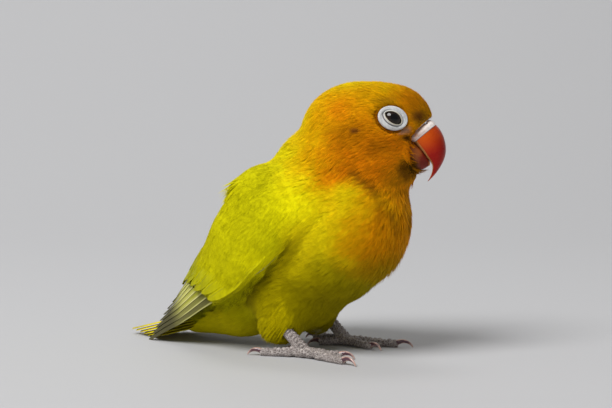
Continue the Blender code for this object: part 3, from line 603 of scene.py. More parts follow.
class Nodes:
    """Adds nodes to a tree and links them, a call for each node."""

    def __init__(self, tree):
        self.tree = tree

    def feed(self, socket, value):
        """Links an output to a socket, or sets the socket to a number, a vector or a colour."""
        if isinstance(value, bpy.types.NodeSocket):
            self.tree.links.new(value, socket)
        elif socket.type == "RGBA":
            socket.default_value = (*value[:3], 1.0)
        else:
            socket.default_value = value

    def add(self, kind, inputs=None, **settings):
        node = self.tree.nodes.new(kind)
        for key, value in settings.items():
            setattr(node, key, value)
        for key, value in (inputs or {}).items():
            self.feed(node.inputs[key], value)
        return node

    def maths(self, operation, a, b=0.0):
        return self.add("ShaderNodeMath", {0: a, 1: b}, operation=operation).outputs[0]

    def plus(self, a, b):
        return self.maths("ADD", a, b)

    def times(self, a, b):
        return self.maths("MULTIPLY", a, b)

    def most(self, a, b):
        return self.maths("MAXIMUM", a, b)

    def ramp(self, value, low, high, to_low=0.0, to_high=1.0):
        inputs = {"Value": value, "From Min": low, "From Max": high, "To Min": to_low, "To Max": to_high}
        return self.add("ShaderNodeMapRange", inputs, interpolation_type="SMOOTHSTEP").outputs["Result"]

    def mix(self, share, a, b, blend="MIX"):
        inputs = {0: share, 6: a, 7: b}
        return self.add("ShaderNodeMix", inputs, data_type="RGBA", blend_type=blend).outputs[2]

    def shaded(self, colour, light):
        """A colour made lighter or darker."""
        grey = self.add("ShaderNodeCombineColor", {0: light, 1: light, 2: light}).outputs[0]
        return self.mix(1.0, colour, grey, "MULTIPLY")

    def noise(self, vector, scale, detail=2.0, roughness=0.5):
        inputs = {"Vector": vector, "Scale": scale, "Detail": detail, "Roughness": roughness}
        return self.add("ShaderNodeTexNoise", inputs).outputs["Fac"]

    def place(self):
        return self.add("ShaderNodeTexCoord").outputs["Object"]

    def attribute(self, name, output="Vector"):
        return self.add("ShaderNodeAttribute", attribute_name=name).outputs[output]

    def scaled(self, vector, scale):
        return self.add("ShaderNodeMapping", {"Vector": vector, "Scale": scale}).outputs[0]

    def split(self, vector):
        return self.add("ShaderNodeSeparateXYZ", {0: vector}).outputs

    def gathered(self, x, y=0.0, z=0.0):
        return self.add("ShaderNodeCombineXYZ", {0: x, 1: y, 2: z}).outputs[0]


class Paint(Nodes):
    """A new material with its nodes, and constants set on its shader's own inputs."""

    def __init__(self, name, **constants):
        self.material = bpy.data.materials.new(name)
        self.material.use_nodes = True
        super().__init__(self.material.node_tree)
        self.shader = self.tree.nodes["Principled BSDF"]
        for key, value in constants.items():
            self.link(key.replace("_", " "), value)

    def link(self, key, value):
        self.feed(self.shader.inputs[key], value)

    def colour(self, value):
        self.link("Base Color", value)

    def bump(self, height, strength, distance):
        inputs = {"Height": height, "Strength": strength, "Distance": distance}
        self.link("Normal", self.add("ShaderNodeBump", inputs).outputs["Normal"])


def both_sides(*rows):
    """Each row followed by its mirror image; a row starts with a frame and a place in it."""
    return [(matrix, (x, side * y, z), *rest) for matrix, (x, y, z), *rest in rows for side in (1, -1)]


def patches():
    """Fields of colour over the plumage: frame, centre, radii, colour, softness and strength."""
    look = bpy.context.scene.lovebird_plumage
    body = (
        (BODY, (-20.0, 0.0, 40.0), (22.0, 30.0, 15.0), look.wing, 0.5, 0.8),
        (BODY, (-38.0, 0.0, 22.0), (22.0, 16.0, 14.0), look.hand, 0.5, 0.8),
        # Partly painted shade: the belly's and the keel's colours darken the underside and the lower breast
        (BODY, (2.0, 0.0, 2.0), (42.0, 60.0, 38.0), look.belly, 0.5, 1.0),
        (BODY, (-36.0, 0.0, 2.0), (34.0, 40.0, 26.0), look.vent, 0.6, 0.9),
        (BODY, (15.0, 0.0, 25.0), (20.0, 34.0, 12.0), look.keel, 0.7, 0.6),
        (BODY, (-3.0, 0.0, 62.0), (14.0, 24.0, 8.0), look.wing, 0.8, 0.95),
        (BODY, (7.0, 0.0, 50.0), (11.0, 60.0, 9.0), look.shoulder, 0.9, 0.7),
        (BODY, (27.5, 0.0, 40.0), (18.0, 30.0, 19.0), look.breast, 0.7, 1.0),
        # Painted shade on the lower front of the breast, in the keel's colour
        (BODY, (28.0, 0.0, 30.0), (12.0, 26.0, 9.0), look.keel, 0.9, 0.6),
        (BODY, (27.0, 0.0, 55.0), (14.0, 24.0, 8.0), look.breast, 0.6, 0.9),
        (HEAD, (0.0, 0.0, -1.0), (25.0, 34.0, 26.0), look.crown, 0.45, 1.0),
        (HEAD, (-20.0, 0.0, 4.0), (7.5, 16.0, 14.0), look.mantle, 0.8, 0.35),
        (HEAD, (-4.0, 0.0, 15.5), (15.0, 12.0, 4.5), look.mantle, 0.9, 0.75),
        (HEAD, (3.5, 0.0, -4.0), (22.5, 28.0, 15.5), look.face, 0.6, 1.0),
        (HEAD, (0.0, 0.0, -10.5), (16.0, 30.0, 8.5), look.face, 0.6, 0.9),
        (HEAD, (12.0, 0.0, -15.0), (11.0, 14.0, 9.0), look.throat, 0.6, 0.8),
        (HEAD, (15.0, 0.0, 8.0), (11.0, 14.0, 9.0), look.forehead, 0.7, 1.0),
        (HEAD, (15.2, 0.0, -12.0), (3.6, 4.5, 2.0), look.chin, 0.8, 0.7),
        *both_sides(
            (HEAD, (-3.0, 12.5, 0.5), (9.0, 6.0, 6.5), look.ear, 0.8, 0.75),
            (HEAD, (5.5, 11.0, -4.0), (6.5, 5.0, 4.2), look.crease, 0.9, 0.65),
            (HEAD, (-5.0, 9.3, 7.0), (9.5, 7.5, 6.5), look.face, 0.9, 0.8),
            (HEAD, (-0.6, 12.6, 1.3), (2.4, 3.0, 1.5), look.smudge, 1.0, 0.85),
            (BODY, (19.8, 12.8, 52.8), (7.0, 6.0, 5.6), look.mantle, 0.95, 0.8),
            (HEAD, (8.0, 8.5, 9.4), (5.5, 4.5, 1.5), look.smudge, 0.9, 0.3),
            # Painted light: the flank under the wing is lightened against the shade of the wing over it
            (BODY, (-19.0, 11.0, 12.0), (10.0, 9.0, 6.0), look.wing, 0.9, 0.6),
            (HEAD, (12.8, 7.4, -9.7), (2.8, 4.8, 3.2), look.chin, 0.9, 0.85),
            (HEAD, (13.2, 5.6, -11.6), (3.6, 4.4, 2.2), look.chin, 0.8, 0.6),
            (HEAD, (16.8, 5.2, 4.3), (3.6, 3.8, 2.6), look.smudge, 0.9, 0.78),
            (HEAD, (12.8, 6.8, 0.8), (2.7, 3.4, 1.8), look.lores, 0.8, 0.9),
            (HEAD, (11.6, 8.0, -4.4), (3.6, 4.2, 3.0), look.face, 0.8, 0.8),
            (HEAD, (13.2, 6.5, -1.5), (1.7, 3.0, 1.4), look.chin, 0.7, 1.0),
            # Painted shade along the fold under the cheek and in the folds at the front of the breast
            *((BODY, centre, CHEEK_FOLD_RADII, look.chin, 0.9, strength)
              for centre, strength in CHEEK_FOLD_SHADE),
            (BODY, (29.2, 4.2, 46.6), (2.2, 2.4, 2.8), look.chin, 0.9, 0.6),
            (BODY, (29.5, 4.0, 43.4), (2.2, 2.4, 2.8), look.chin, 0.9, 0.6),
            (BODY, (27.0, 7.4, 47.0), (2.8, 4.2, 3.0), look.crease, 1.0, 0.7),
            (HEAD, (13.4, 4.6, -13.0), (2.6, 3.2, 2.2), look.chin, 0.9, 0.6),
            (BODY, (-1.0, 7.0, 5.5), (2.4, 2.6, 2.4), look.down, 0.8, 0.9),
        ),
    )
    wing = (
        (BODY, (7.0, 0.0, 49.0), (15.0, 60.0, 15.0), look.shoulder, 0.8, 1.0),
        # Partly painted light: the wing's lower edge, which faces down, is given the bend's bright colour
        (BODY, (-4.0, 0.0, 31.0), (16.0, 60.0, 10.0), look.shoulder, 0.8, 1.0),
        (BODY, (-40.0, 0.0, 18.0), (27.0, 60.0, 23.0), look.hand, 0.8, 1.0),
    )
    return body, wing


def painted(nodes, place, rough, base, rows):
    """The base colour with fields of other colours mixed over it, row by row."""
    colour = base
    for matrix, centre, radii, paint, softness, strength in rows:
        own = nodes.add("ShaderNodeMapping", {
            "Vector": place, "Location": (matrix @ Vector(centre)) * MM, "Rotation": matrix.to_euler(),
            "Scale": Vector(radii) * MM}, vector_type="TEXTURE").outputs[0]
        far = nodes.add("ShaderNodeVectorMath", {0: own}, operation="LENGTH").outputs["Value"]
        share = nodes.ramp(nodes.plus(far, rough), 1.0, 1.0 - softness, 0.0, strength)
        colour = nodes.mix(share, colour, paint)
    return colour


def plumage_group():
    """The plumage's colour at a place, given in metres, on the body or on the wing, with its mottling."""
    name = "Lovebird plumage"
    if name in bpy.data.node_groups:
        return bpy.data.node_groups[name]
    group = bpy.data.node_groups.new(name, "ShaderNodeTree")
    for socket, kind in (("Place", "Vector"), ("Wing", "Float"), ("Tone", "Float")):
        group.interface.new_socket(socket, in_out="INPUT", socket_type=f"NodeSocket{kind}")
    group.interface.new_socket("Color", in_out="OUTPUT", socket_type="NodeSocketColor")
    nodes = Nodes(group)
    place, wing, tone, _ = nodes.add("NodeGroupInput").outputs
    look = bpy.context.scene.lovebird_plumage
    rough = nodes.ramp(nodes.noise(place, 160.0, 3.0), 0.25, 0.75, -0.08, 0.08)
    body_rows, wing_rows = patches()
    colour = nodes.mix(wing, painted(nodes, place, rough, look.mantle, body_rows),
                       painted(nodes, place, rough, look.wing, wing_rows))
    mottle = nodes.ramp(nodes.noise(place, 420.0, 2.0), 0.2, 0.8, 0.94, 1.06)
    tall = nodes.scaled(place, (1.0, 1.0, 0.13))
    streak = nodes.ramp(nodes.noise(tall, 850.0, 2.0), 0.25, 0.75, -0.10, 0.08)
    mottle = nodes.plus(mottle, nodes.times(streak, wing))
    nodes.add("NodeGroupOutput", {"Color": nodes.shaded(colour, nodes.plus(mottle, tone))})
    return group


def plumage_colour(nodes, place, wing, tone):
    """The plumage group's colour; wing and tone are sockets or numbers."""
    inputs = {"Place": place, "Wing": wing, "Tone": tone}
    return nodes.add("ShaderNodeGroup", inputs, node_tree=plumage_group()).outputs["Color"]


def skin_material():
    paint = Paint("skin", Roughness=0.9, Specular_Tint=FEATHER_GLOSS)
    place = paint.place()
    paint.colour(plumage_colour(paint, place, paint.attribute("wing", "Fac"), -0.3))
    paint.bump(paint.noise(place, 900.0, 4.0), 0.5, 0.0005)
    return paint.material


def feather_material():
    """Small feathers: coloured at their root's place, dark at the root, with fine barbs along them."""
    paint = Paint("feather", Roughness=0.75, Specular_Tint=FEATHER_GLOSS, Specular_IOR_Level=0.14,
                  Sheen_Tint=FEATHER_GLOSS, Sheen_Weight=0.12, Sheen_Roughness=0.5)
    along, across, tone = paint.split(paint.attribute("feather"))
    wing = paint.attribute("wing", "Fac")
    colour = plumage_colour(paint, paint.attribute("root"), wing, paint.times(tone, 0.13))
    strand = paint.gathered(paint.times(along, 1.6), paint.times(across, 3.2), paint.times(tone, 9.0))
    barbs = paint.ramp(paint.noise(strand, 2.0, 2.0), 0.3, 0.7, 0.89, 1.09)
    light = paint.times(paint.ramp(along, 0.0, 0.9, 0.72, 1.05), barbs)
    paint.colour(paint.shaded(colour, light))
    return paint.material


def flight_material(name, wing, paleness, greyness):
    """Vanes with a shaft and fine barbs; the longest have pale edges and grey webs and tips."""
    paint = Paint(name, Roughness=0.6, Specular_Tint=FEATHER_GLOSS)
    look = bpy.context.scene.lovebird_plumage
    along, across, tone = paint.split(paint.attribute("feather"))
    colour = plumage_colour(paint, paint.attribute("root"), wing, paint.times(tone, 0.08))
    side = paint.maths("ABSOLUTE", across)
    barbs = paint.maths("SINE", paint.plus(paint.times(along, 565.0), paint.times(side, 56.0)))
    if paleness > 0.0:
        edge = paint.times(paint.ramp(across, 0.45, 0.95), paint.ramp(along, 0.1, 0.4))
        streak = paint.gathered(paint.times(along, 1.2), paint.times(across, 2.6), tone)
        cloud = paint.noise(streak, 2.0, 3.0)
        worn = paint.times(paint.ramp(cloud, 0.35, 0.65, 0.15, 0.75), paint.ramp(along, 0.45, 0.75))
        colour = paint.mix(paint.times(paint.most(edge, worn), paleness), colour, look.pale)
    if greyness > 0.0:
        web = paint.times(paint.ramp(across, 0.1, -0.7), paint.ramp(along, 0.45, 0.8, 0.0, 0.4))
        outer = paint.times(paint.ramp(tone, -0.6, -0.95), paint.ramp(across, 0.85, 0.5, 0.3, 0.85))
        tip = paint.ramp(paint.plus(along, paint.ramp(tone, 0.2, -1.0, -0.16, 0.0)), 0.64, 0.84)
        share = paint.most(paint.most(web, outer), tip)
        colour = paint.mix(paint.times(share, greyness), colour, look.grey)
    colour = paint.mix(paint.ramp(side, 0.10, 0.02, 0.0, 0.35), colour, look.grey)
    light = paint.times(paint.ramp(barbs, -1.0, 1.0, 0.95, 1.03), paint.ramp(side, 0.8, 1.0, 1.0, 1.1))
    paint.colour(paint.shaded(colour, light))
    paint.bump(barbs, 0.25, 0.00005)
    return paint.material


# ---------------------------------------------------------------- skin


class WingSheet:
    """Places (t, w, lift) points round the body for the right wing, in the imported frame."""

    def __init__(self, tree):
        self.tree = tree
        pitch = math.radians(AXIS_PITCH)
        self.along = Vector((math.cos(pitch), 0.0, math.sin(pitch)))
        self.dorsal = Vector((-math.sin(pitch), 0.0, math.cos(pitch)))
        self.start = AXIS_AT + BODY_AT
        self.known = {}

    def radius(self, t, angle):
        """Distance of the body's surface from the axis, kept once it is found."""
        key = (round(t, 2), round(angle, 3))
        if key not in self.known:
            dorsal, lateral = between(ENVELOPE, t)
            radius = 1.0 / math.hypot(math.cos(angle) / dorsal, math.sin(angle) / lateral)
            centre = self.start + self.along * t
            out = self.outward(angle)
            hit = self.tree.ray_cast(centre + out * 60.0, -out, 60.0)[0]
            if hit is not None:
                radius = max(radius, (hit - centre).length)
            self.known[key] = radius
        return self.known[key]

    def outward(self, angle):
        return self.dorsal * math.cos(angle) + Vector((0.0, -math.sin(angle), 0.0))

    def point(self, t, w, lift):
        dorsal, lateral = between(ENVELOPE, t)
        angle = w / (0.5 * (dorsal + lateral))
        radius = self.radius(t, angle) + WING_LIFT + lift
        return self.start + self.along * t + self.outward(angle) * radius


def node_copy(name):
    """A welded copy of a CAD node, swollen a little."""
    obj = object_of("flesh_" + name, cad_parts[name].data.copy())
    obj.data.materials.clear()
    clean(obj)
    move_corners(obj, corners_of(obj) + normals_of(obj) * SWELL)
    return obj


def arm_height(t, share):
    """How high the wing's flesh stands over the sheet, at a share of its width from the upper edge."""
    thick = between(WING_ARM, t)[0]
    upper = math.sin(min(1.0, share / 0.42) * math.pi / 2) ** 1.5
    edge = math.sqrt(max(0.16, 1 - share**9))
    sunk = math.sin(min(1.0, (1 - share) / 0.5) * math.pi / 2) ** 1.2
    lower = blend_of(edge, sunk, float(smoothstep(1.0, 15.0, t)))
    return (WING_ARM_LIFT + thick) * upper * lower


def wing_arm(sheet, name, side):
    """The arm and hand of the wing as a closed shell; side is 1 for the right and -1 for the left."""
    rings = []
    sections, across = WING_ARM_GRID
    for t in np.linspace(WING_ARM[0][0], WING_ARM[-1][0], sections):
        upper = between(WING_UPPER_EDGE, t)[0]
        lower = between(WING_LOWER_EDGE, t)[0] - float(smoothstep(8.0, -2.0, t))
        shares = np.linspace(0.0, 1.0, across)
        places = [(upper + (lower - upper) * share, arm_height(t, share)) for share in shares]
        ring = [sheet.point(t, w, height) for w, height in places]
        ring += [sheet.point(t, w, -WING_LIFT) for w, _ in reversed(places)]
        rings.append([(p.x, p.y * side, p.z) for p in ring])
    return bridged(name, rings)


def fused(name, objects, voxel, smoothing):
    """One even closed surface round objects that touch."""
    whole = joined(name, objects)
    modified(whole, "REMESH", mode="VOXEL", voxel_size=voxel * MM)
    modified(whole, "SMOOTH", factor=0.5, iterations=smoothing)
    return whole


def by_place(points, body, head, face):
    """A value that changes from the body over the head to the face."""
    return blend_of(blend_of(body, head, head_share(points)), face, face_share(points))


def coat_depth(points):
    """How deep the coat is over the skin, in millimetres, at points of the outer form."""
    return by_place(points, bpy.context.scene.lovebird_plumage.coat_depth, *COAT_DEPTHS)


def local(points, matrix):
    """Points in the head's or the bird's own frame."""
    inverse = np.array(matrix.inverted())
    return np.asarray(points) @ inverse[:3, :3].T + inverse[:3, 3]


def moved(points, matrix):
    """Points of a frame in millimetres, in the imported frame."""
    matrix = np.array(matrix)
    return np.asarray(points) @ matrix[:3, :3].T + matrix[:3, 3]


def folded(points, matrix):
    """Points in a frame of the bird, those on its right moved over to its left."""
    own = local(points, matrix)
    own[:, 1] = np.abs(own[:, 1])
    return own


def head_share(points):
    """1 on the head and 0 on the body, with the neck between."""
    own = local(points, BODY)
    level = own[:, 2] + NECK_SLOPE * (own[:, 0] - 12.0)
    return smoothstep(*NECK_LEVELS, level)


def face_share(points):
    """1 round the bill and the eyes, falling to 0 over the crown and cheeks."""
    own = local(points, HEAD)
    from_bill = np.linalg.norm(own - np.array(BILL_MIDDLE), axis=1)
    from_eye = np.linalg.norm(own[:, [0, 2]] - np.array(EYE_MIDDLE), axis=1)
    return np.maximum(1 - smoothstep(*BY_BILL, from_bill), 0.7 * (1 - smoothstep(*BY_EYE, from_eye)))


class LOVEBIRD_OT_skin(bpy.types.Operator):
    """Fuse the flesh nodes and the wings' arms into one skin, the coat's depth inside them"""

    bl_idname = "lovebird.skin"
    bl_label = "Skin"

    def execute(self, context):
        root = add_ellipsoid("flesh_tail_root", *TAIL_ROOT)
        flesh = fused("flesh", [node_copy(name) for name in FLESH_NODES] + [root], SKIN_VOXEL, 6)
        move_corners(flesh, corners_of(flesh) - normals_of(flesh) * SWELL)
        sheet = WingSheet(tree_of(flesh))
        arms = [wing_arm(sheet, f"arm_{side}", side) for side in (1, -1)]
        rump = add_ellipsoid("flesh_rump", *RUMP)
        form = fused("skin", [flesh, rump, *arms], SKIN_VOXEL, 8)
        points = corners_of(form)
        move_corners(form, points + normals_of(form) * hills(points, FULLER)[:, None])
        with editing(form):
            bpy.ops.uv.smart_project(angle_limit=math.radians(66.0), island_margin=0.002)
        FORMS["sheet"] = sheet
        FORMS["tree"] = tree_of(form)
        FORMS["surface"] = surface_of(form)
        points = corners_of(form)
        depth = coat_depth(points) + ROOT_DEPTH
        move_corners(form, points - normals_of(form) * depth[:, None])
        set_values(form, "wing", "FLOAT", on_wing(points)[0])
        form.data.shade_smooth()
        finish(form, skin_material(), "body_plumage", *FLESH_NODES)
        return {"FINISHED"}


# ---------------------------------------------------------------- small feathers


def surface_of(obj):
    """The triangles of a surface: corners in millimetres, areas, and the unwrap at each corner."""
    mesh = obj.data
    mesh.calc_loop_triangles()
    points = corners_of(obj)[read(mesh.loop_triangles, "vertices", 3, np.int32)]
    unwrap = read(mesh.uv_layers.active.data, "uv", 2)[read(mesh.loop_triangles, "loops", 3, np.int32)]
    cross = np.cross(points[:, 1] - points[:, 0], points[:, 2] - points[:, 0])
    return {"points": points, "areas": np.linalg.norm(cross, axis=1) / 2, "normals": unit(cross),
            "unwrap": unwrap}


def scatter(spacing_at, keep_at, seed):
    """Evenly spread roots over the form, closer where spacing_at is small, in places kept by keep_at."""
    surface = FORMS["surface"]
    draw = np.random.default_rng(seed)
    middles = surface["points"].mean(axis=1)
    weight = np.where(keep_at(middles), surface["areas"] / spacing_at(middles) ** 2, 0.0)
    count = int(weight.sum() * TRIES)
    chosen = draw.choice(len(weight), size=count, p=weight / weight.sum())
    a, b = draw.random(count), draw.random(count)
    flip = a + b > 1
    a[flip], b[flip] = 1 - a[flip], 1 - b[flip]
    share = np.stack((1 - a - b, a, b), axis=1)[:, :, None]
    points = (surface["points"][chosen] * share).sum(axis=1)
    unwrap = (surface["unwrap"][chosen] * share).sum(axis=1)
    kept = thinned(points, spacing_at(points))
    return points[kept], surface["normals"][chosen][kept], unwrap[kept]


def thinned(points, radius):
    """Which points to keep so that none lies within its radius of one kept before it."""
    keys = np.floor(points / float(radius.max())).astype(int)
    around = list(product((-1, 0, 1), repeat=3))
    grid, kept = {}, []
    for i, (point, reach, key) in enumerate(zip(points.tolist(), radius.tolist(), keys.tolist())):
        cells = (grid.get((key[0] + dx, key[1] + dy, key[2] + dz), ()) for dx, dy, dz in around)
        if all(math.dist(point, other) >= reach for cell in cells for other in cell):
            grid.setdefault(tuple(key), []).append(point)
            kept.append(i)
    return np.array(kept, int)


def zipper(near, far):
    """Triangles between two rows of corners that may differ in count."""
    faces = []
    i = j = 0
    while i < len(near) - 1 or j < len(far) - 1:
        next_near = (i + 1) / max(1, len(near) - 1) if i < len(near) - 1 else 2.0
        next_far = (j + 1) / max(1, len(far) - 1) if j < len(far) - 1 else 2.0
        if next_far <= next_near:
            faces.append((near[i], far[j], far[j + 1]))
            j += 1
        else:
            faces.append((near[i], far[j], near[i + 1]))
            i += 1
    return faces


def tuft_pattern(fingers, rows):
    """A closed flat tuft: rows of (along, across, side of the sheet), finger numbers and triangles."""
    spots = [(0.0, 0.0, 0.0, -1)]
    tops, bottoms = [[0]], [[0]]
    for along, half_width, count in rows:
        for side, lists in ((1.0, tops), (-1.0, bottoms)):
            lists.append([])
            for across in np.linspace(-1.0, 1.0, count):
                lists[-1].append(len(spots))
                spots.append((along, across * half_width, side, -1))
    faces = []
    for near, far in zip(tops, tops[1:]):
        faces += zipper(near, far)
    for near, far in zip(bottoms, bottoms[1:]):
        faces += [face[::-1] for face in zipper(near, far)]
    for end in (0, -1):
        rim = []
        for (top, next_top), (bottom, next_bottom) in zip(zip(tops, tops[1:]), zip(bottoms, bottoms[1:])):
            a, b, c, d = top[end], next_top[end], next_bottom[end], bottom[end]
            rim += [(a, c, b)] if a == d else [(a, d, c), (a, c, b)]
        faces += rim if end == 0 else [face[::-1] for face in rim]
    last_top, last_bottom = tops[-1], bottoms[-1]
    width = rows[-1][1]
    for finger in range(fingers):
        tip = len(spots)
        across = ((finger + 0.5) / fingers * 2 - 1) * width
        spots.append((1.0, across, 0.0, finger))
        a, b = last_top[finger], last_top[finger + 1]
        c, d = last_bottom[finger], last_bottom[finger + 1]
        faces += [(a, tip, b), (d, tip, c), (a, c, tip), (b, tip, d)]
    return np.array(spots), np.array(faces)


def lie_at(points, normals):
    """Which way the feathers point: away from the bill over the head, and tailwards on the body."""
    bill, rear = np.array(HEAD @ Vector(BILL_TIP)), np.array(BODY @ Vector(TAIL_END))
    share = smoothstep(*TURN_AT, np.linalg.norm(points - bill, axis=1))[:, None]
    flow = unit(points - bill) * (1 - share) + unit(rear - points) * share
    near_leg = np.exp(-(((folded(points, BODY) - np.array(LEG_AT)) / np.array(LEG_RADII)) ** 2).sum(axis=1))
    flow += near_leg[:, None] * LEG_DROOP + DROOP
    wing = on_wing(points)[0][:, None]
    flow = flow * (1 - wing) + (WING_DROOP - np.array(FORMS["sheet"].along)) * wing
    for eye in EYES.values():
        offset = points - np.array(eye)
        push = np.exp(-((np.linalg.norm(offset, axis=1) / EYE_REACH) ** 4))
        flow += unit(offset) * push[:, None] * EYE_PUSH
    flow -= normals * (flow * normals).sum(axis=1, keepdims=True)
    return unit(flow)


def towards(matrix, direction):
    """A lie that follows one direction of a frame over the form."""
    flow = np.array(matrix)[:3, :3] @ np.array(direction)
    return lambda points, normals: unit(flow - normals * (normals @ flow)[:, None])


def hills(points, rows):
    """Heights of round hills at points; rows give each hill's centre, radius and height."""
    own = local(points, BODY)
    total = np.zeros(len(points))
    for centre, radius, height in rows:
        far = np.linalg.norm(own - np.array(centre), axis=1)
        total += height * np.exp(-((far / radius) ** 2))
    return total


def standing(points):
    """How far tufts' tips stand off the coat, in millimetres, in the few places where they do."""
    return hills(points, RUFFLED)


def drift(points, scale, seed):
    """Slow noise from -1 to 1, to swing the lie of the feathers in clumps."""
    offset = Vector((seed * 3.7, seed * 1.3, seed * 2.9))
    return np.array([noise.noise(Vector(p) * scale + offset) for p in points.tolist()])


def tuft_coat(name, kind, spacing_at, keep_at, size_at, seed, scruff=8.0, rise=0.06, over=None,
              settle=1.3, lie=lie_at, bright=0.0):
    """A coat of tufts as one mesh: size_at gives each tuft's length and half-width at its root."""
    draw = np.random.default_rng(seed + 1)
    points, normals, unwrap = scatter(spacing_at, keep_at, seed)
    count = len(points)
    fingers, rows = TUFTS[kind]
    spots, faces = tuft_pattern(fingers, rows)
    each = (count, len(spots))
    length, half_width = (size * draw.uniform(*TUFT_SIZES, count) for size in size_at(points))
    flow = lie(points, normals)
    alone, together, scale = CLUMPING
    swing = draw.normal(0.0, alone, count) + together * drift(points, scale, seed)
    swing = np.radians(scruff) * swing
    flow = unit(flow * np.cos(swing)[:, None] + np.cross(normals, flow) * np.sin(swing)[:, None])
    stations = sorted({0.0, 1.0, *(row[0] for row in rows)})
    lines, ups, acrosses = trails(points, flow, length, stations, over)
    stand = standing(points)
    lift = draw.normal(rise, UNEVEN[kind], count) + stand * draw.uniform(0.0, 1.6, count)
    along, across, sheet, finger = spots.T
    index = [stations.index(station) for station in along]
    free = finger >= 0  # only the ends of the fingers differ from tuft to tuft
    shift = draw.uniform(*FINGER_LENGTHS, each) * free - ROUND_TIP * (across / rows[-1][1]) ** 2 * free
    place = lines[:, index]
    heading = unit(lines[:, -1] - lines[:, -2])
    place += heading[:, None, :] * (shift * length[:, None])[:, :, None]
    sway = draw.normal(0.0, FINGER_SWAY, each) * free
    place += acrosses[:, index] * ((across + sway) * half_width[:, None])[:, :, None]
    reach = np.clip(along + shift, 0.0, 1.2)
    sunk = coat_depth(points)[:, None] * np.clip(1 - reach, 0.0, 1.0) ** settle
    height = lift[:, None] * reach**2 - sunk - CAMBER[kind] * half_width[:, None] * across**2
    height += sheet * TUFT_THICKNESS * (0.5 - 0.3 * along) + draw.normal(0.0, UNEVEN[kind] / 2, each) * free
    place += ups[:, index] * height[:, :, None]
    varied = TONES[kind] * (1.0 + 1.4 * np.minimum(1.0, stand))
    # painted shade: tufts under the wing's lower edge and along its seam are darkened
    tone = draw.normal(bright, 1.0, count) * varied + bright * (1.0 - varied) - FOLD_SHADE * fold_shade_at(points)
    feather = np.stack(np.broadcast_arrays(reach, across, tone[:, None]), axis=-1)
    all_faces = (faces[None] + np.arange(count)[:, None, None] * len(spots)).reshape(-1, 3)
    obj = mesh_object(name, place.reshape(-1, 3), all_faces)
    set_values(obj, "feather", "FLOAT_VECTOR", feather.reshape(-1, 3))
    set_values(obj, "wing", "FLOAT", np.repeat(on_wing(points)[0], len(spots)))
    set_values(obj, "root", "FLOAT_VECTOR", np.repeat(points * MM, len(spots), axis=0))
    patch = unwrap[:, None, :] + np.stack((along, across / 2), axis=-1) * BAKE_PATCH
    corner_uv = patch.reshape(-1, 2)[all_faces.ravel()]
    obj.data.uv_layers.new(name="OFBake").data.foreach_set("uv", corner_uv.astype(np.float32).ravel())
    obj.data.shade_smooth()
    obj.data.set_sharp_from_angle(angle=math.radians(50.0))
    finish(obj, FORMS["feather"], "head_plumage" if head_share(points).mean() > 0.5 else "body_plumage")


def trails(points, flow, length, stations, over=None):
    """Each tuft's line over the form, as places, normals and crosses.

    Over is None, or a tree that hides the form in places, how deep it may hide it, and the point
    away from which it is looked for, which is None where that is along the form's normals.
    """
    lines = np.empty((len(points), len(stations), 3))
    ups, acrosses = np.empty_like(lines), np.empty_like(lines)
    for i, (at, heading) in enumerate(zip(map(Vector, points), map(Vector, flow))):
        last, reach = 0.0, float(length[i])
        for k, station in enumerate(stations):
            at = at + heading * ((station - last) * reach)
            last = station
            spot, up, _, _ = FORMS["tree"].find_nearest(at)
            if over is not None:
                cover, deepest, centre = over
                out = up if centre is None else (at - centre).normalized()
                high = deepest + 1.5
                top, face, _, _ = cover.ray_cast(at + out * high, -out, high + reach)
                if centre is not None and (at - spot).length > RIM:
                    top, up, _, _ = cover.find_nearest(at)
                    spot = at.lerp(top, 0.65)
                elif top is not None and 0.0 < (top - spot).dot(out) < deepest:
                    spot, up = top, up if centre is None else face
            at = spot
            heading = (heading - up * heading.dot(up)).normalized()
            lines[i, k], ups[i, k], acrosses[i, k] = spot, up, up.cross(heading)
    return lines, ups, acrosses


def clear_of(names, gap):
    """A test of points: True where they are further than gap from all these CAD nodes."""
    trees = [tree_of(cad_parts[name]) for name in names]

    def test(points):
        return np.array([all(tree.find_nearest(point, gap)[0] is None for tree in trees)
                         for point in map(Vector, points)], bool)

    return test


def bare_parts(points):
    """True outside the eye rings, the cere and the bill."""
    clear = np.ones(len(points), bool)
    near = head_share(points) > 0.3
    clear[near] = FORMS["bare_test"](points[near])
    return clear


def wing_place(points):
    """Where points lie on the wings: t, w, and the w of the upper and the lower edge at that t."""
    sheet = FORMS["sheet"]
    offset = np.asarray(points) - np.array(sheet.start)
    t = offset @ np.array(sheet.along)
    angle = np.arctan2(np.abs(offset[:, 1]), offset @ np.array(sheet.dorsal))
    stations, dorsal, lateral = zip(*sorted(ENVELOPE))
    w = angle * (np.interp(t, stations, dorsal) + np.interp(t, stations, lateral)) / 2
    upper, lower = (np.interp(t, *zip(*sorted(edge))) for edge in (WING_UPPER_EDGE, WING_LOWER_EDGE))
    return t, w, upper, lower


def on_wing(points):
    """How much a place belongs to the wings' arms, from 0 to 1, and its t."""
    t, w, upper, lower = wing_place(points)
    soft = blend_of(1.5, 8.0, smoothstep(2.0, 14.0, t))
    inside = np.minimum(smoothstep(-1.5, 1.5, w - upper), smoothstep(-1.5, soft, lower - w))
    return inside * smoothstep(26.0, 15.0, t), t


def grows_coverts(points):
    """True on the part of the wings where soft coverts are rooted."""
    t, w, upper, lower = wing_place(points)
    share = (w - upper) / (lower - upper)
    return (on_wing(points)[0] > 0.5) & (t > blend_of(*COVERTS_TO, share))


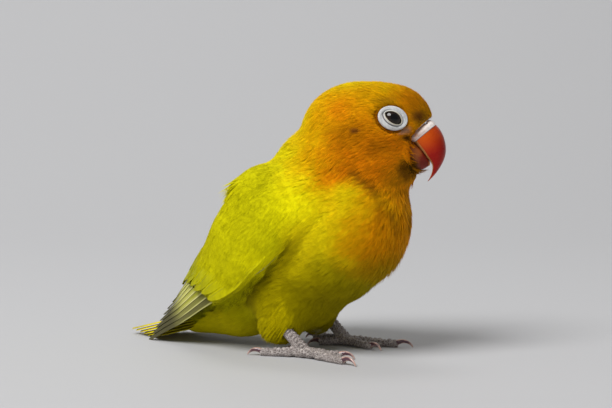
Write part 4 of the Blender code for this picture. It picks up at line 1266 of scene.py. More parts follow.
def fold_shade_at(points):
    """How much painted shade darkens the feathers under the wing's lower edge and along its seam, from 0 to
    1.
    """
    t, w, _, lower = wing_place(points)
    width = blend_of(*FOLD_WIDTHS, smoothstep(*FOLD_TURN, t))
    under = smoothstep(1.0, 0.3, (w - lower) / width) * (w > lower - 0.3)
    under *= smoothstep(*FOLD_FRONT, t) * smoothstep(*FOLD_BACK, t)
    start, end = np.array(SEAM)
    line = end - start
    offset = folded(points, BODY) - start
    share = np.clip(offset @ line / (line @ line), 0.0, 1.0)
    far = np.linalg.norm(offset - share[:, None] * line, axis=1)
    return np.maximum(under, SEAM_SHADE * np.exp(-((far / SEAM_WIDTH) ** 2)))


def inside(matrix, centre, radii):
    """A test of points: True in an ellipsoid of a frame and in its mirror image."""
    def test(points):
        return np.linalg.norm((folded(points, matrix) - np.array(centre)) / np.array(radii), axis=1) < 1
    return test


def evenly(value):
    return lambda points: np.full(len(points), value)


def sized(length, half_width):
    return lambda points: (evenly(length)(points), evenly(half_width)(points))


def spacing_of(points):
    return by_place(points, *SPACINGS)


def size_of_tuft(points):
    look = bpy.context.scene.lovebird_plumage
    length = by_place(points, look.body_feather, look.head_feather, look.face_feather)
    return length, by_place(points, *HALF_WIDTHS)


def back_on_wing(points):
    """0 at the bend of the wing, growing to 1 where the flight feathers lie bare."""
    return smoothstep(18.0, -22.0, on_wing(points)[1])


def size_of_covert(points):
    back = back_on_wing(points)
    return blend_of(*COVERT_LENGTHS, back), blend_of(*COVERT_HALF_WIDTHS, back)


def spacing_of_covert(points):
    return blend_of(*COVERT_SPACINGS, back_on_wing(points))


def bristles(name, keep, spacing, length, seed, cover, way, rise, bright):
    """Thin stiff tufts round the bill, which lie on its horn where they reach over it."""
    over = (tree_of(bpy.data.objects[cover]), 5.0, HEAD @ Vector(MOUTH))
    tuft_coat(f"coat_{name}", "fine", evenly(spacing), keep, sized(length, BRISTLE_HALF_WIDTH), seed,
              scruff=14.0, rise=rise, over=over, lie=towards(HEAD, way), settle=2.0, bright=bright)


class LOVEBIRD_OT_head_coat(bpy.types.Operator):
    """Cover the head in fine tufts, smallest round the bill and the eyes, with bristles at the chin"""

    bl_idname = "lovebird.head_coat"
    bl_label = "Head feathers"

    def execute(self, context):
        rings = clear_of(("eye_ring_left", "eye_ring_right"), 0.25)
        horn = clear_of(("bill_upper", "bill_lower", "cere"), 0.2)
        off_cere = clear_of(("cere",), 1.3)
        FORMS["bare_test"] = lambda points: rings(points) & horn(points)
        FORMS["feather"] = feather_material()

        def face(points):
            return (head_share(points) > 0.5) & (face_share(points) > 0.35) & bare_parts(points)

        def crown(points):
            return (head_share(points) > 0.5) & (face_share(points) <= 0.35) & bare_parts(points)

        def lores(points):
            close = (head_share(points) > 0.5) & (face_share(points) > 0.5) & bare_parts(points)
            close[close] = ~off_cere(points[close])
            return close

        tuft_coat("coat_face", "fine", spacing_of, face, size_of_tuft, 11, scruff=7.0, rise=0.05)
        tuft_coat("coat_head", "fine", spacing_of, crown, size_of_tuft, 12, scruff=8.0, rise=0.10)
        for name, centre, radii, *rest in BRISTLES:
            region = inside(HEAD, centre, radii)
            bristles(name, lambda points: region(points) & bare_parts(points), *rest)
        bristles("lores", lores, 0.30, 1.7, 14, "cere_skin", (0.9, 0.0, -0.3), 0.2, 0.0)
        return {"FINISHED"}


class LOVEBIRD_OT_body_coat(bpy.types.Operator):
    """Cover the neck, body, thighs and wings in overlapping small feathers"""

    bl_idname = "lovebird.body_coat"
    bl_label = "Body feathers"

    def execute(self, context):
        for side, sign in (("right", -1), ("left", 1)):
            def on_side(points):
                return grows_coverts(points) & (head_share(points) <= 0.5) & (points[:, 1] * sign > 0)

            over = tree_of(bpy.data.objects[f"secondaries_{side}"])
            tuft_coat(f"coat_wing_{side}", "covert", spacing_of_covert, on_side, size_of_covert, 25,
                      scruff=5.0, rise=0.09, over=(over, 3.6, None), settle=3.0)

        def off_wings(points):
            return (head_share(points) <= 0.5) & (on_wing(points)[0] <= 0.5)

        def neck(points):
            return off_wings(points) & (head_share(points) > NECK_FROM)

        def thigh(points):
            return off_wings(points) & inside(BODY, PLUME_AT, PLUME_RADII)(points)

        tuft_coat("coat_neck", "silky", spacing_of, neck, size_of_tuft, 21, scruff=9.0)
        for (name, seed), (front, back) in zip((("breast", 22), ("side", 23), ("rear", 24)),
                                               pairwise((math.inf, *COAT_SEAMS, -math.inf))):
            def stretch(points):
                x = local(points, BODY)[:, 0]
                return off_wings(points) & (head_share(points) <= NECK_FROM) & (x <= front) & (x > back)

            tuft_coat(f"coat_{name}", "silky", spacing_of, stretch, size_of_tuft, seed, scruff=10.0)
        tuft_coat("coat_thigh", "silky", evenly(0.45), thigh, sized(12.5, 0.34), 26, scruff=6.0, rise=0.9,
                  lie=towards(BODY, (-0.75, 0.0, -0.8)), bright=2.8)
        return {"FINISHED"}


# ---------------------------------------------------------------- flight feathers


def vane(point, root, tip, middle_at, half_at, lift_at, draw, pointed, shingle=0.22, neck=0.75, tone=None):
    """One flight feather as arrays: corners, faces and its (along, across, tone) values.

    Point makes a corner from a place along, a place across and a lift. The three functions give the
    feather's middle, its half-width and its lift at a place along.
    """
    length = root - tip
    start = 1.0 - 3.2 * max(half_at(tip), 0.6) / length
    notches = draw.uniform(*VANE_NOTCHES)
    tone = draw.normal(0.0, 0.5) if tone is None else tone
    rows, values = [], []
    for share in VANE_STEPS:
        t = root - length * share
        taper = 1.0
        if share > start:
            taper = max(0.06, 1 - ((share - start) / (1 - start)) ** (1.6 + pointed)) ** 0.55
        taper *= neck + (1.0 - neck) * min(1.0, share / 0.2)
        notched = any(abs(share - notch) < NOTCH_REACH for notch in notches)
        for column in VANE_COLUMNS:
            side = column * NOTCH_WIDTH if notched and abs(column) == 1.0 else column
            w = middle_at(t) + side * half_at(t) * taper
            camber = -VANE_CAMBER * half_at(t) * side * side
            ridge = SHAFT_RIDGE if abs(column) < 0.1 else 0.0
            rows.append((t, w, lift_at(t) + side * shingle + camber + ridge))
            values.append((share, column, tone))
    verts = [point(t, w, lift + half) for half in (VANE_THICKNESS / 2, -VANE_THICKNESS / 2)
             for t, w, lift in rows]
    columns, steps, below = len(VANE_COLUMNS), len(VANE_STEPS), len(rows)
    faces = []
    for i, j in product(range(steps - 1), range(columns - 1)):
        a, b = i * columns + j, (i + 1) * columns + j
        faces += [(a, b, b + 1), (a, b + 1, a + 1)]
        a, b = a + below, b + below
        faces += [(a, b + 1, b), (a, a + 1, b + 1)]
    rim = list(range(columns))
    rim += [i * columns + columns - 1 for i in range(1, steps)]
    rim += [(steps - 1) * columns + j for j in range(columns - 2, -1, -1)]
    rim += [i * columns for i in range(steps - 2, 0, -1)]
    for a, b in zip(rim, rim[1:] + rim[:1]):
        faces += [(a, b, b + below), (a, b + below, a + below)]
    return np.array(verts), np.array(faces), np.array(values + values)


def vanes_object(name, vanes, mirror, material, *nodes):
    """Joins vanes into one piece, mirrored for the left side."""
    side = np.array((1.0, -1.0 if mirror else 1.0, 1.0))
    verts, faces, values, roots = [], [], [], []
    offset = 0
    for corners, face, value in vanes:
        corners = corners * side
        verts.append(corners)
        faces.append((face[:, ::-1] if mirror else face) + offset)
        values.append(value)
        roots.append(corners[len(corners) // 4] * 0.35 + corners * 0.65)
        offset += len(corners)
    obj = mesh_object(name, np.concatenate(verts), np.concatenate(faces))
    with editing(obj):
        bpy.ops.mesh.normals_make_consistent(inside=False)
    set_values(obj, "feather", "FLOAT_VECTOR", np.concatenate(values))
    set_values(obj, "root", "FLOAT_VECTOR", np.concatenate(roots) * MM)
    obj.data.shade_smooth()
    obj.data.set_sharp_from_angle(angle=math.radians(45.0))
    finish(obj, material, "wing_plumage", *nodes)


def primary_vanes(sheet, draw):
    """Vanes side by side up from the wing's lower edge, the longest first."""
    made = []
    count = PRIMARIES["count"]
    first, last = PRIMARIES["tips"]
    near, far = PRIMARIES["spacing"]

    def spacing_at(t):
        return near + (far - near) * min(1.0, max(0.0, t / first))

    def half_at(t):
        return 0.7 * spacing_at(t)

    for i in range(count):
        def middle_at(t):
            tucked = between(PRIMARY_TUCK, t)[0]
            return between(WING_LOWER_EDGE, t)[0] - tucked - half_at(t) - spacing_at(t) * i

        tip = first + (last - first) * i / (count - 1) + draw.uniform(-0.4, 0.4)
        root, neck = (EDGE_ROOTS[i], 0.2) if i < len(EDGE_ROOTS) else (PRIMARIES["root"], 0.75)
        made.append(vane(sheet.point, root, tip, middle_at, half_at, lambda t: PRIMARIES["lift"] + 0.05 * i,
                         draw, pointed=1.0, neck=neck, tone=-1.0 + 0.17 * i))
    return made


def secondary_vanes(sheet, draw):
    """Vanes spread between the wing's two edges, closing up towards its tip."""
    made = []
    count = SECONDARIES["count"]
    low_tip, high_tip = SECONDARIES["tips"]
    low, high = SECONDARIES["share"]

    def edges(t):
        return between(WING_UPPER_EDGE, t)[0], between(WING_LOWER_EDGE, t)[0]

    def half_at(t):
        upper, lower = edges(t)
        return SECONDARIES["wide"] * (lower - upper) * (low - high) / (count - 1)

    for i in range(count):
        def middle_at(t):
            upper, lower = edges(t)
            return upper + (lower - upper) * share

        def lift_at(t):
            free = between(SECONDARY_LIFT, t)[0] * blend_of(0.75, 1.0, float(smoothstep(0.0, 0.45, share)))
            return blend_of(min(free, arm_height(t, share) - 1.0), free, float(smoothstep(-13.0, -25.0, t)))

        along = i / (count - 1)
        tip = low_tip + (high_tip - low_tip) * along + draw.uniform(-0.6, 0.6)
        share = low + (high - low) * along + draw.uniform(-0.006, 0.006)
        made.append(vane(sheet.point, SECONDARIES["root"], tip, middle_at, half_at, lift_at, draw,
                         pointed=0.2))
    return made


class LOVEBIRD_OT_wings(bpy.types.Operator):
    """Lay the folded wings' flight feathers in two tiers"""

    bl_idname = "lovebird.wings"
    bl_label = "Wings"

    def execute(self, context):
        sheet = FORMS["sheet"]
        pale = flight_material("primary", 1.0, 0.9, 1.0)
        middling = flight_material("secondary", 1.0, 0.0, 0.0)
        for side, mirror in (("right", False), ("left", True)):
            draw = np.random.default_rng(31 if mirror else 30)
            vanes_object(f"primaries_{side}", primary_vanes(sheet, draw), mirror, pale, f"wing_{side}")
            vanes_object(f"secondaries_{side}", secondary_vanes(sheet, draw), mirror, middling)
        return {"FINISHED"}


class LOVEBIRD_OT_tail(bpy.types.Operator):
    """Lay the tail's feathers in pairs, the middle pair on top"""

    bl_idname = "lovebird.tail"
    bl_label = "Tail"

    def execute(self, context):
        draw = np.random.default_rng(41)
        pairs, step = TAIL["pairs"], TAIL["step"]
        level = TAIL["tip"] + step * (pairs - 1)
        made = []
        for pair, side in product(range(pairs), (1, -1)):
            half_width = (TAIL["widths"][0] + TAIL["widths"][1] * pair) / 2
            middle = 0.15 + half_width
            base = TAIL["floor"] + TAIL["layer"] * (pairs - 1 - pair)

            def place(x, y, lift):
                z = base + TAIL["slope"] * (x - level) - TAIL["roof"] * (y - middle) + lift
                return Vector((x, side * y, max(z, VANE_THICKNESS * 0.5))) + BODY_AT

            made.append(vane(place, TAIL["root"], TAIL["tip"] + step * pair, lambda x: middle,
                             lambda x: half_width, lambda x: 0.0, draw, pointed=0.1, shingle=0.0))
        vanes_object("tail_vanes", made, False, flight_material("tail", 0.0, 0.0, 0.35), "tail")
        return {"FINISHED"}


# ---------------------------------------------------------------- eyes


def eye_frame(side):
    """The eye's frame: X along the ring's long axis to the front, Y up, Z out of the head."""
    turn = Matrix.Rotation(math.radians(EYE_AZIMUTH * side), 4, "Z")
    turn = turn @ Matrix.Rotation(math.radians(-EYE_RISE), 4, "Y")
    upright = Matrix.Rotation(math.radians(90.0), 4, "Y") @ Matrix.Rotation(math.radians(90.0), 4, "Z")
    at = Vector((EYES_FROM_HEAD[0], -EYES_FROM_HEAD[2] * side, EYES_FROM_HEAD[1]))
    return HEAD @ Matrix.Translation(at) @ turn @ upright @ Matrix.Diagonal((side, 1.0, 1.0, 1.0))


def signed_power(value, power):
    return math.copysign(abs(value) ** power, value)


def almond(angle, long_half, short_half):
    """A point of an outline that is pointed at both corners of the eye."""
    return long_half * math.cos(angle), short_half * signed_power(math.sin(angle), 1.25)


def turned(point, degrees):
    x, y = point
    c, s = math.cos(math.radians(degrees)), math.sin(math.radians(degrees))
    return x * c - y * s, x * s + y * c


def lid_rings(count=96):
    """The bare ring from under its outer edge, over its folds, to the lids' inner edge and back."""
    angles = [2 * math.pi * i / count for i in range(count)]
    rings, values = [], []
    for share, height, inset in LID_PROFILE:
        ring = []
        for angle in angles:
            outer = turned((RING_RADII[0] * math.cos(angle), RING_RADII[1] * math.sin(angle)), RING_TILT)
            inner = turned(almond(angle, *LID_SLIT), LID_TILT)
            x, y = (a + (b - a) * share for a, b in zip(outer, inner))
            size = 1.0 - inset / math.hypot(x, y)
            wobble = noise.noise(Vector((x * 1.6, y * 1.6, share * 9.0)))
            fold = 0.05 * math.sin(angle * 3 + share * 14.0) + 0.07 * wobble
            x, y = x * size, y * size
            over_ball = EYE_RADIUS * math.exp(-(x * x + y * y) / 17.6) + 0.12
            slope = LID_RIM_HEIGHT * (1 - share) + over_ball * share
            ring.append((x, y, slope + height + (fold if 0.05 < share < 0.92 else 0.0)))
            values.append((share, math.cos(angle), math.sin(angle)))
        rings.append(ring)
    return rings, values


def eye_material():
    paint = Paint("eye", Roughness=0.03, Specular_IOR_Level=0.3)
    look = bpy.context.scene.lovebird_eye
    radius = paint.split(paint.attribute("eye"))[0]
    streak = paint.noise(paint.attribute("eye"), 9.0, 3.0)
    brown = paint.mix(paint.ramp(streak, 0.35, 0.7), look.iris, toned(look.iris, 2.6))
    colour = paint.mix(paint.ramp(radius, 0.42, 0.46), PUPIL, brown)
    paint.colour(paint.mix(paint.ramp(radius, 0.72, 0.86), colour, EYE_RIM))
    return paint.material


def lid_material():
    paint = Paint("eye_ring", Roughness=0.55)
    look = bpy.context.scene.lovebird_eye
    share, forward, up = paint.split(paint.attribute("lid"))
    place = paint.place()
    cloud = paint.ramp(paint.noise(place, 1400.0, 3.0), 0.3, 0.75)
    white = paint.mix(cloud, toned(look.ring, 0.8), look.ring)
    colour = paint.mix(paint.ramp(share, 0.80, 0.90), white, look.lid)
    # Painted shade in the ring's groove, darker on its lower front
    groove_shade = paint.times(paint.ramp(share, 0.58, 0.66), paint.ramp(share, 0.78, 0.70))
    below = paint.plus(paint.times(forward, -0.45), paint.times(up, -0.9))
    depth = paint.ramp(below, -0.4, 0.8, 0.25, 0.95)
    colour = paint.mix(paint.times(groove_shade, depth), colour, LID_GROOVE_SHADE)
    paint.colour(paint.mix(paint.ramp(share, 0.975, 1.0), colour, LID_EDGE))
    paint.bump(paint.noise(place, 5200.0, 3.0, 0.6), 0.8, 0.00025)
    return paint.material


class LOVEBIRD_OT_eyes(bpy.types.Operator):
    """Set the eyeballs and the bare, folded rings round them"""

    bl_idname = "lovebird.eyes"
    bl_label = "Eyes"

    def execute(self, context):
        wet, bare = eye_material(), lid_material()
        for side, label in SIDES:
            matrix = eye_frame(side)
            deselect()
            bpy.ops.mesh.primitive_uv_sphere_add(segments=48, ring_count=32, radius=EYE_RADIUS * MM)
            ball = context.object
            ball.name = f"eyeball_{label}"
            own = corners_of(ball)
            front = own[:, 2] > 0
            radius = np.hypot(own[:, 0], own[:, 1])
            own[:, 2] += CORNEA[0] * np.exp(-((radius / CORNEA[1]) ** 2)) * front
            turn = np.arctan2(own[:, 1], own[:, 0])
            values = (np.where(front, radius / IRIS_RADIUS, 1.0), np.cos(turn) * 2.0, np.sin(turn) * 2.0)
            set_values(ball, "eye", "FLOAT_VECTOR", np.stack(values, axis=1))
            move_corners(ball, moved(own, matrix))
            clean(ball, 60.0)
            finish(ball, wet, "eye", f"eye_{label}")
            rings, values = lid_rings()
            ring = bridged(f"eye_ring_skin_{label}", rings, matrix, ends="loop")
            set_values(ring, "lid", "FLOAT_VECTOR", values)
            clean(ring, 80.0)
            finish(ring, bare, "bare_skin", f"eye_ring_{label}")
        return {"FINISHED"}


# ---------------------------------------------------------------- bill


def smooth_rows(table, count):
    """Sections in between those of a table, on a curve through all of them."""
    rows = np.array([(*inner, *ridge, half) for inner, ridge, half in table])
    padded = np.concatenate((2 * rows[:1] - rows[1:2], rows, 2 * rows[-1:] - rows[-2:-1]))
    made = []
    for at in np.linspace(0.0, len(rows) - 1.0, count):
        i = min(int(at), len(rows) - 2)
        u = at - i
        a, b, c, d = padded[i:i + 4]
        row = 0.5 * (2 * b + (c - a) * u + (2 * a - 5 * b + 4 * c - d) * u**2
                     + (3 * b - a - 3 * c + d) * u**3)
        made.append((row[:2], row[2:4], max(0.05, row[4])))
    return made


def bill_loft(name, table, sections, sides):
    """A bill part through smooth sections, and the (along, up, 0) values of its corners."""
    rings, values = [], []
    for k, (inner, ridge, half_width) in enumerate(smooth_rows(table, sections)):
        ring = []
        for i in range(sides):
            angle = 2 * math.pi * (i + 0.5) / sides
            up = math.cos(angle)
            depth = 0.3 + 0.7 * up if up > 0 else 0.3 + 0.3 * signed_power(up, 0.5)
            x, z = inner + (ridge - inner) * depth
            ring.append((x, half_width * signed_power(math.sin(angle), 0.8), z))
            values.append((k / (sections - 1), up, 0.0))
        rings.append(ring)
    return bridged(name, rings, HEAD), values


def lower_bill_colour(paint, look, along, up, cloud):
    """The lower bill's colour: stained at its base, and darker towards the underside near its base."""
    colour = paint.mix(paint.ramp(cloud, 0.3, 0.7), look.lower, toned(look.lower, 0.62))
    skin = paint.plus(along, paint.ramp(cloud, 0.2, 0.8, -0.12, 0.12))
    colour = paint.mix(paint.ramp(skin, 0.62, 0.40, 0.0, 0.85), colour, BILL_STAIN)
    dark = paint.times(paint.ramp(up, -0.2, 0.7), paint.ramp(skin, 0.75, 0.35))
    colour = paint.mix(paint.times(dark, 0.9), colour, BILL_UNDERSIDE_DARK)
    return paint.mix(paint.ramp(along, 0.9, 1.0), colour, look.edge)


def upper_bill_colour(paint, look, along, up, cloud):
    """The upper bill's colour: orange at its base and tip, and a pale cutting edge."""
    colour = paint.mix(paint.ramp(along, 0.0, 0.4), look.orange, look.red)
    colour = paint.mix(paint.ramp(up, 0.1, 1.0, 0.0, 0.55), colour, toned(look.red, 0.7))
    colour = paint.mix(paint.ramp(along, 0.72, 1.0, 0.0, 0.6), colour, look.orange)
    colour = paint.mix(paint.ramp(cloud, 0.5, 0.8, 0.0, 0.25), colour, look.orange)
    return paint.mix(paint.ramp(up, -0.28, -0.45, 0.0, 0.9), colour, look.edge)


def bill_material(name, colour_at):
    paint = Paint(name, Specular_IOR_Level=0.35, Specular_Tint=BILL_GLOSS, Coat_Weight=0.08,
                  Coat_Roughness=0.12)
    along, up, _ = paint.split(paint.attribute("bill"))
    cloud = paint.noise(paint.place(), 380.0, 3.0)
    paint.colour(colour_at(paint, bpy.context.scene.lovebird_bill, along, up, cloud))
    paint.link("Roughness", paint.ramp(cloud, 0.3, 0.8, 0.24, 0.42))
    grain = paint.scaled(paint.attribute("bill"), (26.0, 3.0, 1.0))
    paint.bump(paint.noise(grain, 2.0, 4.0, 0.6), 0.35, 0.0002)
    return paint.material


def cere_material():
    paint = Paint("cere", Roughness=0.55)
    look = bpy.context.scene.lovebird_bill
    place = paint.place()
    cloud = paint.noise(place, 1300.0, 3.0)
    low, hole, along = paint.split(paint.attribute("cere"))
    colour = paint.mix(paint.ramp(cloud, 0.35, 0.8), look.cere, toned(look.cere, 0.72))
    frayed = paint.plus(along, paint.ramp(cloud, 0.2, 0.8, -0.15, 0.15))
    colour = paint.mix(paint.ramp(frayed, 0.32, 0.14, 0.0, 0.7), colour, CERE_EDGE)
    colour = paint.mix(paint.ramp(low, -1.5, 2.4, 0.6, 0.0), colour, CERE_FOOT)
    # The nostrils' hollows are painted dark, as their shade
    paint.colour(paint.mix(paint.ramp(hole, 0.25, 0.8), colour, NOSTRIL))
    paint.bump(paint.noise(place, 4200.0, 3.0), 0.5, 0.00015)
    return paint.material


class LOVEBIRD_OT_bill(bpy.types.Operator):
    """Model the two halves of the bill and the cere with its nostrils"""

    bl_idname = "lovebird.bill"
    bl_label = "Bill"

    def execute(self, context):
        for name, table, sections, colour_at in (("upper", UPPER_BILL, 56, upper_bill_colour),
                                                 ("lower", LOWER_BILL, 36, lower_bill_colour)):
            piece, values = bill_loft(f"horn_{name}", table, sections, 48)
            set_values(piece, "bill", "FLOAT_VECTOR", values)
            clean(piece, 50.0)
            finish(piece, bill_material(f"bill_{name}", colour_at), "bill", f"bill_{name}")
        cere, values = bill_loft("cere_skin", CERE, 18, 140)
        points = corners_of(cere)
        own = local(points, HEAD)
        hole = np.zeros(len(own))
        for side, _ in SIDES:
            offset = own - np.array(NOSTRIL_AT) * (1, side, 1)
            far = np.linalg.norm(offset / np.array(NOSTRIL_RADII), axis=1)
            hole = np.maximum(hole, np.exp(-(far**4)))
        bulge = CERE_SWELL * np.exp(-((np.abs(own[:, 1]) - 3.0) / 1.4) ** 2)
        points += normals_of(cere) * (bulge - NOSTRIL_DEPTH * hole)[:, None]
        move_corners(cere, points)
        values = np.stack((own[:, 2], hole, np.array(values)[:, 0]), axis=1)
        set_values(cere, "cere", "FLOAT_VECTOR", values)
        clean(cere, 60.0)
        finish(cere, cere_material(), "bare_skin", "cere")
        return {"FINISHED"}


# ---------------------------------------------------------------- feet


def tube(name, points, radii, matrix, sides=20):
    """A closed round tube through points, each ring square to the path."""
    path = [Vector(point) for point in points]
    rings = []
    for before, point, after, radius in zip(path[:1] + path, path, path[1:] + path[-1:], radii):
        ahead = (after - before).normalized()
        side = (SIDEWAYS - ahead * SIDEWAYS.dot(ahead)).normalized()
        up = ahead.cross(side)
        turn = [2 * math.pi * k / sides for k in range(sides)]
        rings.append([point + side * math.cos(a) * radius + up * math.sin(a) * radius for a in turn])
    return bridged(name, rings, matrix)


def toe_path(length, pads, steps_per_pad=8):
    """The toe's centre line from the joint out, low at each pad, and its radii."""
    steps = steps_per_pad * pads
    points, radii = [], []
    for i in range(steps + 1):
        share = i / steps
        taper = TOE_RADII[0] + (TOE_RADII[1] - TOE_RADII[0]) * share
        swell = 0.5 - 0.5 * math.cos(2 * math.pi * share * pads)
        radius = taper * (0.86 + 0.16 * swell)
        arch = 0.9 * math.sin(math.pi * min(1.0, share * 1.6)) * (1 - share)
        points.append((length * share, 0.0, radius - SOLE + arch * (1 - swell)))
        radii.append(radius)
    return points, radii


def claw_path(length, start, steps=22):
    """A claw that arches out of the toe's end and down to the floor."""
    points = [Vector((start, 0.0, TOE_RADII[1] * 1.15))]
    for i in range(1, steps + 1):
        angle = math.radians(28.0 - 92.0 * i / steps)
        points.append(points[-1] + Vector((math.cos(angle), 0.0, math.sin(angle))) * length / steps)
    radii = [0.13 + 0.75 * (1 - i / steps) ** 0.8 for i in range(steps + 1)]
    lift = 0.08 - min(point.z - radius for point, radius in zip(points, radii))
    return [point + Vector((0, 0, lift * i / steps)) for i, point in enumerate(points)], radii


def scutes(points, radii, matrix, spacing, width):
    """Low domes along the top of a toe or shank, one behind the other."""
    made = []
    travelled, last = 0.0, 0.0
    for (start, end), radius in zip(pairwise(map(Vector, points)), radii[1:]):
        travelled += (end - start).length
        if travelled - last < spacing:
            continue
        last = travelled
        ahead = (end - start).normalized()
        pitch = math.degrees(math.asin(max(-1.0, min(1.0, ahead.z))))
        up = ahead.cross(SIDEWAYS)
        if up.z < 0:
            up.negate()
        for angle in (-width, 0.0, width):
            tilt = math.radians(angle)
            at = end + (up * math.cos(tilt) + SIDEWAYS * math.sin(tilt)) * radius * 0.86
            size = (spacing * 0.5, radius * (0.62 if angle == 0 else 0.5), 0.5)
            made.append(add_ellipsoid("scute", at, size, pitch, matrix, 10, 6))
    return made


def foot_material():
    paint = Paint("foot", Roughness=0.6)
    look = bpy.context.scene.lovebird_feet
    place = paint.place()
    warp = paint.gathered(paint.times(paint.noise(place, 700.0, 2.0), 0.0004))
    shift = paint.add("ShaderNodeVectorMath", {0: place, 1: warp}, operation="ADD").outputs[0]
    cells = paint.add("ShaderNodeTexVoronoi", {"Vector": shift, "Scale": 1250.0},
                      feature="DISTANCE_TO_EDGE").outputs["Distance"]
    cloud = paint.noise(place, 260.0, 3.0)
    skin = paint.mix(paint.ramp(cloud, 0.3, 0.7), look.skin, toned(look.skin, 0.7))
    paint.colour(paint.mix(paint.times(paint.ramp(cells, 0.13, 0.03), 0.65), skin, look.crease))
    paint.bump(paint.ramp(cells, 0.0, 0.22), 0.7, 0.0003)
    return paint.material


def claw_material():
    paint = Paint("claw", Roughness=0.3, Coat_Weight=0.3)
    look = bpy.context.scene.lovebird_feet
    along, up, _ = paint.split(paint.attribute("claw"))
    cloud = paint.ramp(paint.noise(paint.place(), 900.0, 3.0), 0.3, 0.7, -0.2, 0.2)
    rim = paint.ramp(paint.plus(paint.maths("ABSOLUTE", up), cloud), 0.45, 0.85)
    tip = paint.ramp(along, 0.55, 0.95)
    paint.colour(paint.mix(paint.most(rim, tip), look.claw, look.claw_edge))
    return paint.material


class LOVEBIRD_OT_feet(bpy.types.Operator):
    """Model the scaled toes and shanks, and the claws"""

    bl_idname = "lovebird.feet"
    bl_label = "Feet"

    def execute(self, context):
        scaly, horn = foot_material(), claw_material()
        for side, label in SIDES:
            base = BODY @ Matrix.Translation((FOOT_AT[0], FOOT_AT[1] * side, -BODY_AT.z))
            pieces, claws = [], []
            for name, heading, length, claw, pads in TOES:
                turn = base @ Matrix.Rotation(math.radians((heading + FOOT_HEADING) * side), 4, "Z")
                points, radii = toe_path(length, pads)
                pieces.append(tube("toe", points, radii, turn))
                pieces += scutes(points, radii, turn, 1.25, 46.0)
                points, radii = claw_path(claw, length - 0.4)
                claws.append((name, tube(f"horn_{name}_{label}", points, radii, turn, CLAW_SIDES)))
            ankle = Vector((ANKLE[0], ANKLE[1] * side, ANKLE[2]))
            joint = Vector((0.0, 0.0, TOE_RADII[0] + 0.2))
            shares = [i / SHANK_STEPS for i in range(SHANK_STEPS + 1)]
            points = [joint.lerp(ankle, share) for share in shares]
            radii = [SHANK_RADIUS * (0.95 + 0.17 * (2 * share - 1) ** 2) for share in shares]
            pieces.append(tube("shank", points, radii, base))
            pieces += scutes(points, radii, base, 1.15, 50.0)
            pieces.append(add_ellipsoid("instep", joint, INSTEP_RADII, 0.0, base))
            foot = fused(f"foot_skin_{label}", pieces, FOOT_VOXEL, 2)
            points = corners_of(foot)
            points[:, 2] = np.maximum(points[:, 2], 0.02)
            move_corners(foot, points)
            clean(foot, 70.0)
            finish(foot, scaly, "foot", f"foot_{label}")
            for name, claw in claws:
                count = len(claw.data.vertices) // CLAW_SIDES
                along = np.repeat(np.linspace(0.0, 1.0, count), CLAW_SIDES)
                up = np.tile(np.sin(np.arange(CLAW_SIDES) * math.tau / CLAW_SIDES), count)
                set_values(claw, "claw", "FLOAT_VECTOR", np.stack((along, up, along * 0), axis=1))
                clean(claw, 60.0)
                finish(claw, horn, "claw", f"claw_{name}_{label}")
        return {"FINISHED"}


# ---------------------------------------------------------------- stage


class LOVEBIRD_OT_stage(bpy.types.Operator):
    """Put the bird on a plain floor in soft light, and set the camera"""

    bl_idname = "lovebird.stage"
    bl_label = "Stage"

    def execute(self, context):
        look = context.scene.lovebird_stage
        azimuth, rise = math.radians(CAMERA_AZIMUTH), math.radians(CAMERA_RISE)
        deselect()
        floor = add_backdrop(azimuth)
        paint = Paint("floor", Roughness=0.7)
        paint.colour(look.floor)
        floor.data.materials.append(paint.material)
        world = bpy.data.worlds.new("studio")
        context.scene.world = world
        world.use_nodes = True
        background = world.node_tree.nodes["Background"]
        background.inputs["Color"].default_value = AROUND
        background.inputs["Strength"].default_value = AROUND_POWER
        add_light("key", *KEY_LIGHT, look.key)
        add_light("wall", *WALL_LIGHT, look.wall)
        right = Vector((math.cos(azimuth), math.sin(azimuth), 0.0))
        level = Vector((math.sin(azimuth), -math.cos(azimuth), 0.0))
        back = level * math.cos(rise) + UP * math.sin(rise)
        aim = right * AIM_RIGHT + Vector((BODY_AT.x, 0.0, AIM_UP + BODY_AT.z))
        data = bpy.data.cameras.new("camera")
        data.lens = look.lens
        data.sensor_width = SENSOR
        data.clip_start = 0.01
        camera = object_of("camera", data)
        camera.location = (aim + back * (VIEW_WIDTH / SENSOR * look.lens)) * MM
        camera.rotation_euler = back.to_track_quat("Z", "Y").to_euler()
        context.scene.camera = camera
        context.scene.view_settings.view_transform = "Standard"
        return {"FINISHED"}


def select_far_edge(floor):
    """Selects the edge where the floor meets the backdrop, in edit mode."""
    bpy.ops.mesh.select_all(action="DESELECT")
    shape = bmesh.from_edit_mesh(floor.data)
    for edge in shape.edges:
        edge.select_set(all(vert.co.y > 1.0 and vert.co.z < 0.1 for vert in edge.verts))
    bmesh.update_edit_mesh(floor.data)


def add_backdrop(azimuth):
    """A floor that sweeps up behind the bird."""
    bpy.ops.mesh.primitive_plane_add(size=5.0, location=(0.0, -0.9, 0.0))
    floor = bpy.context.object
    floor.name = "floor"
    bpy.ops.object.transform_apply(location=True)
    bpy.ops.object.mode_set(mode="EDIT")
    bpy.ops.mesh.select_mode(type="EDGE")
    select_far_edge(floor)
    bpy.ops.mesh.extrude_region_move(TRANSFORM_OT_translate={"value": (0.0, 0.0, 3.0)})
    select_far_edge(floor)
    bpy.ops.mesh.bevel(offset=1.3, segments=32, affect="EDGES")
    bpy.ops.object.mode_set(mode="OBJECT")
    floor.data.transform(Matrix.Rotation(azimuth, 4, "Z"))
    floor.data.shade_smooth()
    return floor


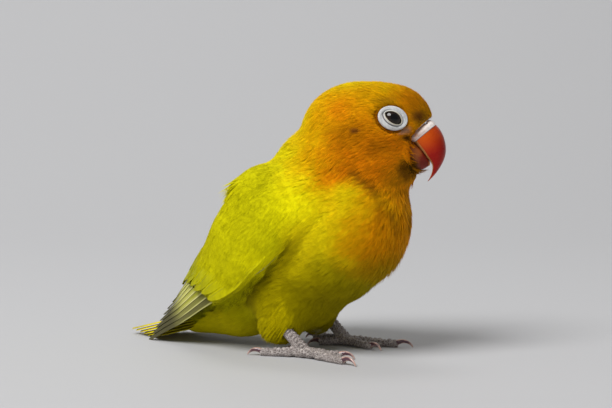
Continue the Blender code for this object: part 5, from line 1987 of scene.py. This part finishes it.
def add_light(name, at, towards, size, power):
    data = bpy.data.lights.new(name, "AREA")
    data.shape = "DISK"
    data.size = size
    data.energy = power
    light = object_of(name, data)
    light.location = at
    light.rotation_euler = (Vector(towards) - light.location).to_track_quat("-Z", "Y").to_euler()


# ---------------------------------------------------------------- add-on


class LOVEBIRD_PT_panel(bpy.types.Panel):
    """Lists the bird's pieces in the order in which they are made"""

    bl_idname = "LOVEBIRD_PT_panel"
    bl_label = "Lovebird"
    bl_space_type = "VIEW_3D"
    bl_region_type = "UI"
    bl_category = "Lovebird"

    def draw(self, context):
        for operator in OPERATORS:
            self.layout.operator(operator.bl_idname)


GROUPS = {
    "lovebird_plumage": LovebirdPlumage,
    "lovebird_bill": LovebirdBill,
    "lovebird_eye": LovebirdEye,
    "lovebird_feet": LovebirdFeet,
    "lovebird_stage": LovebirdStage,
}
OPERATORS = (
    LOVEBIRD_OT_stage,
    LOVEBIRD_OT_skin,
    LOVEBIRD_OT_wings,
    LOVEBIRD_OT_tail,
    LOVEBIRD_OT_eyes,
    LOVEBIRD_OT_bill,
    LOVEBIRD_OT_head_coat,
    LOVEBIRD_OT_body_coat,
    LOVEBIRD_OT_feet,
)


def register():
    for group in GROUPS.values():
        bpy.utils.register_class(group)
    for name, group in GROUPS.items():
        setattr(bpy.types.Scene, name, PointerProperty(type=group))
    for operator in OPERATORS:
        bpy.utils.register_class(operator)
    bpy.utils.register_class(LOVEBIRD_PT_panel)


def unregister():
    bpy.utils.unregister_class(LOVEBIRD_PT_panel)
    for operator in reversed(OPERATORS):
        bpy.utils.unregister_class(operator)
    for name, group in GROUPS.items():
        delattr(bpy.types.Scene, name)
        bpy.utils.unregister_class(group)


def main():
    register()
    bpy.ops.lovebird.stage()
    bpy.ops.lovebird.skin()
    bpy.ops.lovebird.wings()
    bpy.ops.lovebird.tail()
    bpy.ops.lovebird.eyes()
    bpy.ops.lovebird.bill()
    bpy.ops.lovebird.head_coat()
    bpy.ops.lovebird.body_coat()
    bpy.ops.lovebird.feet()


if __name__ == "__main__":
    main()
